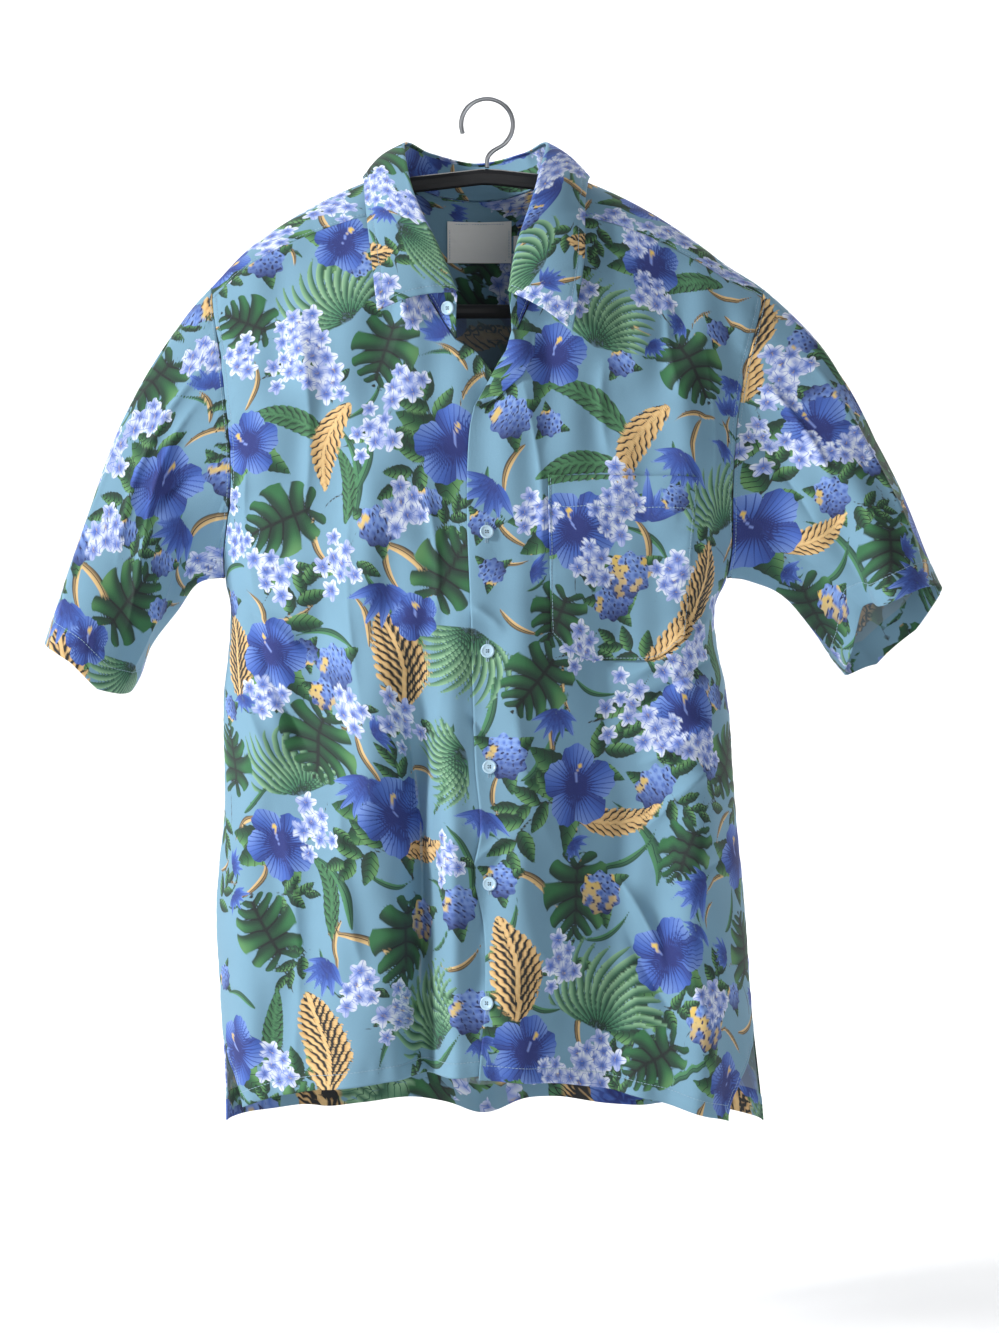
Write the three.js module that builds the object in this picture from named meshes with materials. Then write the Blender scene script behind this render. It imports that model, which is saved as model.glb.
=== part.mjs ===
// Short-sleeved tropical shirt hanging buttoned on a black clothes hanger.
// Units are millimetres. X is to the viewer's right, Y points away from the viewer, Z is up.
// The origin is the inside top of the hanger's hook, where a rod carries it.
// "Left" and "right" are the wearer's, so the left front and sleeve are on the viewer's right.

import * as THREE from 'three';

// Cloth and seams
const WALL = 1.6;
const SEAM_GAP = 0.3;
const LAYER_STEP = 2.5;
const TUCK_STEP = 3;
const TUCK_REACH = 34;
const TUCK_EDGE = 4;
const DEG = Math.PI / 180;

// Colours
const CLOTH = { color: 0x8fc0d6, roughness: 0.85, metalness: 0 };
const LABEL_CLOTH = { color: 0xe6e4dc, roughness: 0.8, metalness: 0 };
const BUTTON_PLASTIC = { color: 0xa9d0e2, roughness: 0.3, metalness: 0 };
const HANGER_PLASTIC = { color: 0x17171a, roughness: 0.6, metalness: 0 };
const HOOK_STEEL = { color: 0x9c9ea2, roughness: 0.35, metalness: 1 };

// Shoulder line, where the cloth lies over the hanger: height against distance from the neck's middle
const NECK_X = -9;
const RIDGE_Z = -70.6;
const RIDGE_AT = 95;
const RIDGE_SLOPE = 0.38;
const RIDGE_DROOP = 0.0019;
// Between these distances from the middle, the two shoulders become alike
const SHOULDER_EVEN = [195, 240];

// Body sections: middle, half width to the armhole or side seam, how far that edge is still open
// from front to back (squared), and depths in front of and behind the hanger's plane
const SECTIONS = [
  { z: -60, mid: 0, half: 243, open: 0.42, front: 68, back: 62 },
  { z: -163, mid: 0.5, half: 233, open: 0.38, front: 70, back: 64 },
  { z: -245, mid: -3, half: 216, open: 0.33, front: 75, back: 68 },
  { z: -326, mid: -4, half: 208, open: 0.24, front: 85, back: 74 },
  { z: -405, mid: -9.5, half: 212, open: 0, front: 90, back: 78 },
  { z: -430, mid: -12, half: 205, open: 0, front: 90, back: 78 },
  { z: -513, mid: -9.5, half: 213.5, open: 0, front: 91, back: 80 },
  { z: -598, mid: -6, half: 216, open: 0, front: 93, back: 83 },
  { z: -683, mid: -5.5, half: 223.5, open: 0, front: 97, back: 88 },
  { z: -768, mid: -0.5, half: 224.5, open: 0, front: 101, back: 92 },
  { z: -853, mid: 6, half: 227, open: 0, front: 105, back: 96 },
  { z: -900, mid: 8, half: 229, open: 0, front: 106, back: 97 },
];
const DOME_FRONT = 230;
const DOME_BACK = 230;
const DOME_NECK = 60;
const DOME_REACH = 160;
const DOME_BLEND = 12;
// Folds fade out towards the side seams
const FOLD_FADE = 1.6;

// Seam heights
const ARMPIT_Z = -405;
const YOKE_DROP_NECK = 40;
const YOKE_DROP_ARM = 12;
const YOKE_BACK_Z = -172;
const YOKE_BACK_DIP = 42;
const YOKE_NECK_REACH = 67;
const SHOULDER_END = 234;
const BACK_HEM_Z = -866;
const VENT_Z = -775;
const VENT_BLEND = 12;
const ARMHOLE_EASE = 1.15;

// Neckline on the fronts: stand end, pull point and shoulder seam end
const NECK_RIGHT = { endX: -26, endZ: -212, pullX: -71, pullZ: -146, seamX: -76 };
const NECK_LEFT = { endX: 22, endZ: -212, pullX: 53, pullZ: -146, seamX: 58 };
const NECK_HALF = 71;
const NECK_BACK_DROP = 24;
// The yoke's neck curve runs past the shoulder line by this share of a half turn, and is flatter there
const NECK_PAST = 0.28;
const NECK_FLATTER = 5;

// Soft folds: where each starts and ends, its half width and its height, minus for a trough
const FRONT_FOLDS = [
  { xTop: -190, xLow: -184, zTop: -185, zLow: -350, width: 15, lift: 6 },
  { xTop: -98, xLow: -90, zTop: -230, zLow: -400, width: 20, lift: 6 },
  { xTop: -60, xLow: -44, zTop: -430, zLow: -990, width: 15, lift: -24 },
  { xTop: -30, xLow: -22, zTop: -430, zLow: -990, width: 15, lift: 8 },
  { xTop: -140, xLow: -128, zTop: -520, zLow: -960, width: 26, lift: 7 },
  { xTop: 40, xLow: 30, zTop: -300, zLow: -900, width: 34, lift: 6 },
  { xTop: 96, xLow: 92, zTop: -400, zLow: -990, width: 46, lift: -15 },
  { xTop: 172, xLow: 180, zTop: -400, zLow: -990, width: 26, lift: 13 },
  { xTop: 158, xLow: 168, zTop: -190, zLow: -450, width: 24, lift: 8 },
  { xTop: -200, xLow: -204, zTop: -560, zLow: -990, width: 18, lift: 6 },
];
const BACK_FOLDS = [
  { xTop: -4, xLow: -4, zTop: -470, zLow: -1010, width: 27, lift: -62 },
  { xTop: -72, xLow: -76, zTop: -430, zLow: -990, width: 30, lift: 10 },
  { xTop: 52, xLow: 54, zTop: -430, zLow: -990, width: 26, lift: 12 },
  { xTop: -132, xLow: -142, zTop: -420, zLow: -990, width: 22, lift: -14 },
  { xTop: 118, xLow: 126, zTop: -420, zLow: -990, width: 24, lift: -16 },
  { xTop: -178, xLow: -182, zTop: -230, zLow: -620, width: 18, lift: 6 },
  { xTop: 170, xLow: 176, zTop: -230, zLow: -620, width: 18, lift: 6 },
];

// Open neck edge of each front, from where the fronts close up to the collar's stand
const OPEN_RIGHT = [
  { at: 0, x: 12, z: -264 },
  { at: 0.34, x: 5, z: -240 },
  { at: 0.67, x: -8, z: -223 },
  { at: 1, x: -26, z: -212 },
];
const OPEN_LEFT = [
  { at: 0, x: -10, z: -268 },
  { at: 0.34, x: -0.5, z: -251 },
  { at: 0.67, x: 9, z: -233 },
  { at: 1, x: 22, z: -212 },
];
// Closing edge of each front below the open neck
const EDGE_RIGHT = [
  { z: -264, x: 12 },
  { z: -812, x: 12 },
];
const EDGE_LEFT = [
  { z: -268, x: -10 },
  { z: -290, x: -14 },
  { z: -459, x: -12 },
  { z: -560, x: -9 },
  { z: -616, x: -5 },
  { z: -645, x: -10 },
  { z: -692, x: -2 },
  { z: -742, x: -1 },
  { z: -812, x: -6 },
];
const HEM_RIGHT = { side: -845, middle: -816, closing: -808, open: 24 };
const HEM_LEFT = { side: -854, middle: -822, closing: -812, open: 32 };

// Grid sizes
const OPEN_COLUMNS = 3;
const NECK_COLUMNS = 7;
const SEAM_COLUMNS = 12;
const FRONT_COLUMNS = OPEN_COLUMNS + NECK_COLUMNS + SEAM_COLUMNS;
const ROWS = 24;
const ARMPIT_ROW = 9;
const BACK_COLUMNS = 26;
const YOKE_FRONT_STEPS = [1, 0.62, 0.28, 0];
const YOKE_BACK_STEPS = [0.12, 0.3, 0.52, 0.76, 1];
const YOKE_ROWS = 8;
const YOKE_NECK_COLUMNS = 16;
const YOKE_PULLED_COLUMNS = 6;
const SLEEVE_ROWS = 9;

// Sleeves: hem corners at the crown and under the arm, hem depth, and how far the crown and
// underarm lines leave the armhole straight on
const SLEEVE_RIGHT = {
  side: -1,
  crown: [-370, -458],
  under: [-304, -500],
  depth: 62,
  crownStart: [-0.7, -0.7],
  crownEnd: [-0.32, -0.95],
  underStart: [-1, 0.1],
  underEnd: [-0.62, -0.78],
};
const SLEEVE_LEFT = {
  side: 1,
  crown: [385, -419],
  under: [306, -481],
  depth: 60,
  crownStart: [0.78, -0.62],
  crownEnd: [0.4, -0.92],
  underStart: [1, 0.05],
  underEnd: [0.7, -0.72],
};
// A sleeve starts this many walls off the panels' rims, at the crown and under the arm, and leans
// sideways by this much more
const SLEEVE_OFF = { crown: 0.6, under: 1.1, lean: 0.2, lowFrom: -260 };
// Hem height changes around the sleeve: 0 at the crown, 90 at the front, 180 under the arm
const HEM_WAVE_RIGHT = [
  { turn: 0, up: 0 },
  { turn: 80, up: -2 },
  { turn: 120, up: -11 },
  { turn: 155, up: -5 },
  { turn: 180, up: 0 },
  { turn: 270, up: 8 },
  { turn: 360, up: 0 },
];
const HEM_WAVE_LEFT = [
  { turn: 0, up: 0 },
  { turn: 40, up: 14 },
  { turn: 73, up: 24 },
  { turn: 118, up: 36 },
  { turn: 146, up: 44 },
  { turn: 162, up: 12 },
  { turn: 180, up: 0 },
  { turn: 215, up: -12 },
  { turn: 260, up: -24 },
  { turn: 310, up: -20 },
  { turn: 360, up: 0 },
];
const SLEEVE_FOLDS_RIGHT = [
  { turnTop: 40, turnHem: 62, from: 0.25, to: 1.4, width: 24, lift: 5 },
  { turnTop: 110, turnHem: 104, from: 0.3, to: 1.4, width: 26, lift: -6 },
  { turnTop: 250, turnHem: 255, from: 0.2, to: 1.4, width: 24, lift: -7 },
  { turnTop: 310, turnHem: 300, from: 0.2, to: 1.4, width: 22, lift: 5 },
];
const SLEEVE_FOLDS_LEFT = [
  { turnTop: 60, turnHem: 138, from: 0.28, to: 1.5, width: 17, lift: 12 },
  { turnTop: 96, turnHem: 166, from: 0.3, to: 1.5, width: 14, lift: -8 },
  { turnTop: 250, turnHem: 255, from: 0.2, to: 1.4, width: 24, lift: -7 },
  { turnTop: 310, turnHem: 300, from: 0.2, to: 1.4, width: 22, lift: 5 },
];

// Collar by distance round the neck: fold line at the top of the stand, and the fall's outer edge
const COLLAR = [
  { at: 0, foldX: -24, foldY: -71, foldZ: -176, edgeX: -89, edgeY: -82, edgeZ: -191 },
  { at: 0.11, foldX: -41, foldY: -67, foldZ: -138, edgeX: -95, edgeY: -64, edgeZ: -142 },
  { at: 0.22, foldX: -61, foldY: -56, foldZ: -93, edgeX: -101, edgeY: -37, edgeZ: -94 },
  { at: 0.27, foldX: -67, foldY: -40, foldZ: -68, edgeX: -103, edgeY: -20, edgeZ: -73 },
  { at: 0.32, foldX: -70, foldY: -12, foldZ: -42, edgeX: -104, edgeY: 3, edgeZ: -65.5 },
  { at: 0.41, foldX: -49, foldY: 40, foldZ: -38, edgeX: -75, edgeY: 55, edgeZ: -82 },
  { at: 0.5, foldX: -9, foldY: 57, foldZ: -43, edgeX: -9, edgeY: 80, edgeZ: -98 },
  { at: 0.59, foldX: 31, foldY: 40, foldZ: -38, edgeX: 57, edgeY: 55, edgeZ: -82 },
  { at: 0.68, foldX: 51, foldY: -12, foldZ: -42, edgeX: 86, edgeY: 3, edgeZ: -65.5 },
  { at: 0.73, foldX: 46, foldY: -40, foldZ: -68, edgeX: 85, edgeY: -20, edgeZ: -73 },
  { at: 0.78, foldX: 40, foldY: -56, foldZ: -93, edgeX: 82, edgeY: -37, edgeZ: -92 },
  { at: 0.89, foldX: 26, foldY: -67, foldZ: -138, edgeX: 80, edgeY: -66, edgeZ: -148 },
  { at: 1, foldX: 18, foldY: -71, foldZ: -176, edgeX: 70, edgeY: -84, edgeZ: -208 },
];
const FOLD_RADIUS = 3.2;
const FOLD_CLEARANCE = 2.4;
const FALL_BULGE = 4;
const STAND_SHARE = 0.97;
const STAND_BULGE = 1.5;
// How far the roll turns before the fall leaves it, in radians
const ROLL = { least: 0.6, most: 1.9, share: 0.8, extra: 0.25 };
const STAND_ROWS = 3;
const FOLD_ROWS = 3;
const FALL_ROWS = 7;

// Turned-back facing at the open neck, on the left front: its fold line and its free edge
const LAPEL = [
  { at: 0, foldX: 21, foldZ: -205, edgeX: 40, edgeZ: -207 },
  { at: 0.35, foldX: 16, foldZ: -223, edgeX: 39, edgeZ: -226 },
  { at: 0.6, foldX: 6.5, foldZ: -239, edgeX: 30, edgeZ: -243 },
  { at: 0.85, foldX: -3.5, foldZ: -258, edgeX: 8, edgeZ: -262 },
  { at: 1, foldX: -8.5, foldZ: -268, edgeX: -4, edgeZ: -271 },
];

const LAPEL_ROWS = 8;
const LAPEL_COLUMNS = 4;
const LAPEL_BULGE = 2.2;
const LAPEL_ROLL_START = 0.15;

// Chest pocket on the left front; its lower corners rise over a share of the width
const POCKET = {
  left: 49,
  right: 172,
  top: -325,
  bottom: -476,
  slantLeft: 3,
  taper: 9,
  cornerLeft: 22,
  cornerRight: 18,
  shareLeft: 0.3,
  shareRight: 0.25,
  step: 3,
};
const POCKET_COLUMNS = 14;
const POCKET_ROWS = 10;
const CORNER_CURVE = 1.5;

// Buttons
const BUTTON_RADIUS = 5.75;
const BUTTON_HEIGHT = 2.4;
const BUTTON_SIDES = 16;
const BUTTON_LIFT = 0.2;
// Half section of a button, as shares of its radius and height: a flat back, a rim and a dished face
const BUTTON_PROFILE = [
  { out: 0, up: -0.5 },
  { out: 0.8, up: -0.5 },
  { out: 1, up: -0.15 },
  { out: 1, up: 0.25 },
  { out: 0.85, up: 0.5 },
  { out: 0.6, up: 0.25 },
  { out: 0, up: 0.25 },
];
const STAND_BUTTON = { x: -31, z: -187 };
const BUTTON_X = [0, 1, 2.5, 3, 1];
const BUTTON_Z = [-372, -468, -562, -656, -751];

// Woven label and size tab inside the back of the neck
const LABEL = { left: -35, right: 21, top: -92, bottom: -127, columns: 6 };
const SIZE_TAB = { left: 23, right: 27, top: -104, bottom: -117, columns: 1 };
const LABEL_ROWS = 4;
const LABEL_WALL = 1;

// Hanger
const BAR_RADIUS_Z = 7;
const BAR_RADIUS_Y = 4.5;
const LOW_BAR_RADIUS = 6;
const LOW_BAR_Z = -179;
const HANGER_TOP = -57;
const HANGER_NECK_SLOPE = 0.113;
const HANGER_ENDS = [-198, 188];
const END_REACH = 18;
const END_OUT = 2;
const ARM_STEPS = 26;
const LOW_BAR_STEPS = 10;
const BEND_STEPS = 5;
const BAR_SIDES = 10;
const HANGER_CLEARANCE = 1.45;
const HOOK_WIRE = 2;
const HOOK_INSIDE = 20;
const HOOK_TURNS = [200, -48];
const HOOK_ARC_STEPS = 14;
const HOOK_LENGTH_STEPS = 44;
const HOOK_BEND = [
  { x: 5, z: -42.5 },
  { x: 0.6, z: -48 },
];

// Small maths helpers
const lerp = (a, b, t) => a + (b - a) * t;
const clamp = (value) => Math.min(1, Math.max(0, value));
const smooth = (from, to, value) => {
  const t = clamp((value - from) / (to - from));
  return t * t * (3 - 2 * t);
};

// Smooth value of one column of a table at a key, with the slopes of the neighbouring rows
function column(table, key, name, at) {
  const rising = table[1][key] > table[0][key];
  let i = 0;
  while (i < table.length - 2 && (rising ? at > table[i + 1][key] : at < table[i + 1][key])) i += 1;
  const slope = (a, b) => (table[b][name] - table[a][name]) / (table[b][key] - table[a][key]);
  const span = table[i + 1][key] - table[i][key];
  const t = clamp((at - table[i][key]) / span);
  const here = slope(i, i + 1);
  const before = i > 0 ? (slope(i - 1, i) + here) / 2 : here;
  const after = i < table.length - 2 ? (slope(i + 1, i + 2) + here) / 2 : here;
  const t2 = t * t;
  const t3 = t2 * t;
  return (2 * t3 - 3 * t2 + 1) * table[i][name] + (t3 - 2 * t2 + t) * span * before
    + (3 * t2 - 2 * t3) * table[i + 1][name] + (t3 - t2) * span * after;
}

// Straight-line value of one column of a table at a key
function straight(table, key, name, at) {
  let i = 0;
  while (i < table.length - 2 && at > table[i + 1][key]) i += 1;
  const t = clamp((at - table[i][key]) / (table[i + 1][key] - table[i][key]));
  return lerp(table[i][name], table[i + 1][name], t);
}

// Body surface

function ridge(x) {
  const middle = NECK_X * (1 - smooth(...SHOULDER_EVEN, Math.abs(x)));
  const out = Math.abs(x - middle) - RIDGE_AT;
  return RIDGE_Z - RIDGE_SLOPE * out - RIDGE_DROOP * out * out;
}

function section(z) {
  const open = Math.max(0, column(SECTIONS, 'z', 'open', z));
  const half = column(SECTIONS, 'z', 'half', z);
  return {
    mid: column(SECTIONS, 'z', 'mid', z),
    half,
    wide: half / Math.sqrt(1 - (z > ARMPIT_Z ? open : 0)),
    front: column(SECTIONS, 'z', 'front', z),
    back: column(SECTIONS, 'z', 'back', z),
  };
}

function foldLift(folds, x, z) {
  let lift = 0;
  for (const fold of folds) {
    const down = clamp((fold.zTop - z) / (fold.zTop - fold.zLow));
    const across = (x - lerp(fold.xTop, fold.xLow, down)) / fold.width;
    const strength = smooth(0, 0.35, down) * (1 - smooth(0.75, 1, down));
    lift += fold.lift * strength * Math.exp(-across * across);
  }
  return lift;
}

// Point of the cloth's middle at a place across and a height, on the front (-1) or the back (+1)
function bodyPoint(side, x, z) {
  const s = section(z);
  const across = Math.max(-1, Math.min(1, (x - s.mid) / s.wide));
  const round = Math.sqrt(1 - across * across);
  const drop = Math.max(0, ridge(x) - z);
  const nearNeck = 1 - smooth(0, DOME_REACH, Math.abs(x - NECK_X));
  const backDome = lerp(DOME_BACK, DOME_NECK, nearNeck * smooth(0, DOME_BLEND, drop));
  const t = Math.min(1, drop / (side < 0 ? DOME_FRONT : backDome));
  const depth = (side < 0 ? s.front : s.back) * Math.sqrt(2 * t - t * t);
  const lift = foldLift(side < 0 ? FRONT_FOLDS : BACK_FOLDS, x, z) * Math.min(1, round * FOLD_FADE);
  return new THREE.Vector3(x, side * (depth * round + lift), z);
}

// The same point from an angle round the body, 0 at the middle and 90 at the side
function roundPoint(side, angle, z) {
  const s = section(z);
  return bodyPoint(side, s.mid + s.wide * Math.sin(angle), z);
}

const angleAt = (x, z) => {
  const s = section(z);
  return Math.asin(Math.max(-1, Math.min(1, (x - s.mid) / s.wide)));
};

// Solid walls

// Normals of a grid of points, from its neighbours
function gridNormals(grid, closed) {
  const rows = grid.length;
  const columns = grid[0].length;
  const pick = (j, i) => grid[j][closed ? (i + columns) % columns : Math.min(columns - 1, Math.max(0, i))];
  return grid.map((line, j) => line.map((point, i) => {
    const across = pick(j, i + 1).clone().sub(pick(j, i - 1));
    const down = grid[Math.min(rows - 1, j + 1)][i].clone().sub(grid[Math.max(0, j - 1)][i]);
    return across.cross(down).normalize();
  }));
}

// A wall of even thickness about a grid of points, closed all round its rim
function wallGeometry(grid, thickness, closed = false, normals = gridNormals(grid, closed)) {
  const rows = grid.length;
  const columns = grid[0].length;
  const positions = [];
  for (const side of [0.5, -0.5]) {
    grid.forEach((line, j) => line.forEach((point, i) => {
      const moved = point.clone().addScaledVector(normals[j][i], side * thickness);
      positions.push(moved.x, moved.y, moved.z);
    }));
  }
  const index = [];
  const inner = rows * columns;
  const at = (j, i) => j * columns + (closed ? (i + columns) % columns : i);
  const quad = (a, b, c, d) => index.push(a, b, c, a, c, d);
  const steps = closed ? columns : columns - 1;
  for (let j = 0; j < rows - 1; j += 1) {
    for (let i = 0; i < steps; i += 1) {
      quad(at(j, i), at(j, i + 1), at(j + 1, i + 1), at(j + 1, i));
      quad(inner + at(j, i), inner + at(j + 1, i), inner + at(j + 1, i + 1), inner + at(j, i + 1));
    }
  }
  for (let i = 0; i < steps; i += 1) {
    quad(inner + at(0, i), inner + at(0, i + 1), at(0, i + 1), at(0, i));
    quad(at(rows - 1, i), at(rows - 1, i + 1), inner + at(rows - 1, i + 1), inner + at(rows - 1, i));
  }
  for (let j = 0; !closed && j < rows - 1; j += 1) {
    quad(at(j, 0), at(j + 1, 0), inner + at(j + 1, 0), inner + at(j, 0));
    const end = columns - 1;
    quad(inner + at(j, end), inner + at(j + 1, end), at(j + 1, end), at(j, end));
  }
  const geometry = new THREE.BufferGeometry();
  geometry.setAttribute('position', new THREE.Float32BufferAttribute(positions, 3));
  geometry.setIndex(index);
  facingOut(geometry);
  geometry.computeVertexNormals();
  return geometry;
}

// Turn every triangle over when the closed surface encloses a negative volume
function facingOut(geometry) {
  const p = geometry.getAttribute('position');
  const index = geometry.getIndex();
  const corner = (k) => new THREE.Vector3().fromBufferAttribute(p, index.getX(k));
  let volume = 0;
  for (let k = 0; k < index.count; k += 3) {
    volume += corner(k).dot(corner(k + 1).cross(corner(k + 2)));
  }
  for (let k = 0; volume < 0 && k < index.count; k += 3) {
    const second = index.getX(k + 1);
    index.setX(k + 1, index.getX(k + 2));
    index.setX(k + 2, second);
  }
}

// Patch filled in between four edge curves that meet at their corners
function patch(columns, rows, top, bottom, inner, outer) {
  const grid = [];
  for (let j = 0; j <= rows; j += 1) {
    const v = j / rows;
    const line = [];
    for (let i = 0; i <= columns; i += 1) {
      const u = i / columns;
      const value = (k) => (1 - v) * top[i][k] + v * bottom[i][k] + (1 - u) * inner[j][k] + u * outer[j][k]
        - (1 - u) * (1 - v) * top[0][k] - u * (1 - v) * top[columns][k]
        - (1 - u) * v * bottom[0][k] - u * v * bottom[columns][k];
      line.push([value(0), value(1)]);
    }
    grid.push(line);
  }
  return grid;
}

// Edge curves of the body panels, as pairs of angle round the body and height

const yokeFrontDrop = (x) => lerp(YOKE_DROP_NECK, YOKE_DROP_ARM,
  clamp((Math.abs(x - NECK_X) - YOKE_NECK_REACH) / (SHOULDER_END - YOKE_NECK_REACH)));
const backSeamZ = (x) => YOKE_BACK_Z - YOKE_BACK_DIP * Math.pow(Math.abs(x) / SHOULDER_END, 1.5);
const edgeX = (side, z) => section(z).mid + side * section(z).half;

// Places across the body where the front seam of the yoke has its points, neck to armhole
function seamXs(neck, side) {
  const end = edgeX(side, ridge(side * SHOULDER_END) - YOKE_DROP_ARM);
  return Array.from({ length: SEAM_COLUMNS + 1 }, (_, k) => lerp(neck.seamX, end, k / SEAM_COLUMNS));
}

// Heights of the panel rows down one side, armhole then side seam
function sideZ(row, top, hem) {
  if (row <= ARMPIT_ROW) return lerp(top, ARMPIT_Z, 1 - Math.pow(1 - row / ARMPIT_ROW, ARMHOLE_EASE));
  return lerp(ARMPIT_Z, hem, (row - ARMPIT_ROW) / (ROWS - ARMPIT_ROW));
}

function sideEdge(side, row, top, hem, open) {
  const z = sideZ(row, top, hem);
  if (row < ARMPIT_ROW) return [angleAt(edgeX(side, z), z), z];
  const seam = SEAM_GAP / 2 / section(z).front / DEG;
  const vent = open * smooth(VENT_Z + VENT_BLEND, hem, z);
  return [side * (90 - seam - vent) * DEG, z];
}

function frontPanel(side, neck, open, edge, hem) {
  const top = [];
  for (let i = 0; i < OPEN_COLUMNS; i += 1) {
    const x = straight(open, 'at', 'x', i / OPEN_COLUMNS);
    const z = straight(open, 'at', 'z', i / OPEN_COLUMNS);
    top.push([angleAt(x, z), z]);
  }
  for (let i = 0; i < NECK_COLUMNS; i += 1) {
    const t = i / NECK_COLUMNS;
    const seamZ = ridge(neck.seamX) - YOKE_DROP_NECK - SEAM_GAP / 2;
    const x = (1 - t) * (1 - t) * neck.endX + 2 * t * (1 - t) * neck.pullX + t * t * neck.seamX;
    const z = (1 - t) * (1 - t) * neck.endZ + 2 * t * (1 - t) * neck.pullZ + t * t * seamZ;
    top.push([angleAt(x, z), z]);
  }
  for (const x of seamXs(neck, side)) {
    const z = ridge(x) - yokeFrontDrop(x) - SEAM_GAP / 2;
    top.push([angleAt(x, z), z]);
  }
  const inner = [];
  const outer = [];
  for (let j = 0; j <= ROWS; j += 1) {
    const z = lerp(open[0].z, hem.closing, j / ROWS);
    inner.push([angleAt(column(edge, 'z', 'x', z), z), z]);
    outer.push(j === 0 ? top[FRONT_COLUMNS] : sideEdge(side, j, top[FRONT_COLUMNS][1], hem.side, hem.open));
  }
  const bottom = [];
  for (let i = 0; i <= FRONT_COLUMNS; i += 1) {
    const u = i / FRONT_COLUMNS;
    const z = (1 - u) * (1 - u) * hem.closing + 2 * u * (1 - u) * hem.middle + u * u * hem.side;
    bottom.push([lerp(inner[ROWS][0], outer[ROWS][0], u), z]);
  }
  return patch(FRONT_COLUMNS, ROWS, top, bottom, inner, outer)
    .map((line) => line.map(([angle, z]) => roundPoint(-1, angle, z)));
}

// The right front passes under the left one, one layer further in
function tuckUnder(grid) {
  return grid.map((line) => line.map((point) => {
    const cover = column(EDGE_LEFT, 'z', 'x', Math.min(EDGE_LEFT[0].z, point.z));
    const inward = TUCK_STEP * smooth(cover - TUCK_REACH, cover - TUCK_EDGE, point.x);
    return new THREE.Vector3(point.x, point.y + inward, point.z);
  }));
}

// Yoke points from a place across and a signed step over the shoulder, minus in front
function yokePoint(x, step) {
  return bodyPoint(step < 0 ? -1 : 1, x, ridge(x) - step * step);
}

// The cloth's own normal at the same place
function yokeNormal(x, step) {
  const across = yokePoint(x + 1, step).sub(yokePoint(x - 1, step));
  const along = yokePoint(x, step + 0.1).sub(yokePoint(x, step - 0.1));
  return across.cross(along).normalize();
}

function yokeGrid() {
  const root = Math.sqrt;
  const trim = (drop) => root(drop - SEAM_GAP / 2);
  const left = seamXs(NECK_RIGHT, -1);
  const right = seamXs(NECK_LEFT, 1);
  const frontEdge = left.slice().reverse().map((x) => [x, -trim(yokeFrontDrop(x))]);
  const neckEdge = [];
  for (let k = 1; k < YOKE_NECK_COLUMNS; k += 1) {
    const turn = lerp(-NECK_PAST, 1 + NECK_PAST, k / YOKE_NECK_COLUMNS) * Math.PI;
    const front = Math.sin(turn) < 0;
    const reach = front ? NECK_HALF - NECK_FLATTER * Math.pow(Math.sin(turn), 2) : NECK_HALF;
    const x = NECK_X - (front ? Math.sign(Math.cos(turn)) * reach : Math.cos(turn) * reach);
    const step = Math.sin(turn) * (front ? trim(YOKE_DROP_NECK) / Math.sin(NECK_PAST * Math.PI)
      : root(NECK_BACK_DROP));
    neckEdge.push([x, step]);
  }
  const top = [...frontEdge, ...neckEdge, ...right.map((x) => [x, -trim(yokeFrontDrop(x))])];
  const columns = top.length - 1;
  const endZ = ridge(SHOULDER_END) - YOKE_BACK_DIP;
  const bottom = top.map((_, i) => {
    const x = lerp(edgeX(-1, endZ), edgeX(1, endZ), i / columns);
    return [x, root(ridge(x) - backSeamZ(x) - SEAM_GAP / 2)];
  });
  // Row steps put one row on the shoulder line itself; round the neck they keep the corner's shares
  const steps = (start, end) => [...YOKE_FRONT_STEPS.map((share) => share * start),
    ...YOKE_BACK_STEPS.map((share) => share * end)];
  const shares = ([, start], [, end]) => steps(start, end).map((step) => (step - start) / (end - start));
  const first = SEAM_COLUMNS;
  const corner = shares(top[first], bottom[first]);
  const columnLines = top.map((start, i) => {
    const inNeck = i > first && i < columns - first;
    const share = inNeck ? corner : shares(start, bottom[i]);
    return share.map((v) => [lerp(start[0], bottom[i][0], v), lerp(start[1], bottom[i][1], v)]);
  });
  const shift = (side, line) => line.map(([x, step], j) => (j === 0 || j === YOKE_ROWS ? 0
    : edgeX(side, ridge(side * SHOULDER_END) - step * step) - x));
  const leftShift = shift(-1, columnLines[0]);
  const rightShift = shift(1, columnLines[columns]);
  return Array.from({ length: YOKE_ROWS + 1 }, (_, j) => columnLines.map((line, i) => {
    const [x, step] = line[j];
    const fromLeft = clamp(1 - i / YOKE_PULLED_COLUMNS);
    const fromRight = clamp(1 - (columns - i) / YOKE_PULLED_COLUMNS);
    const pull = leftShift[j] * fromLeft + rightShift[j] * fromRight;
    const point = yokePoint(x + pull, step);
    return { point, normal: yokeNormal(x + pull, step) };
  }));
}

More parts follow.
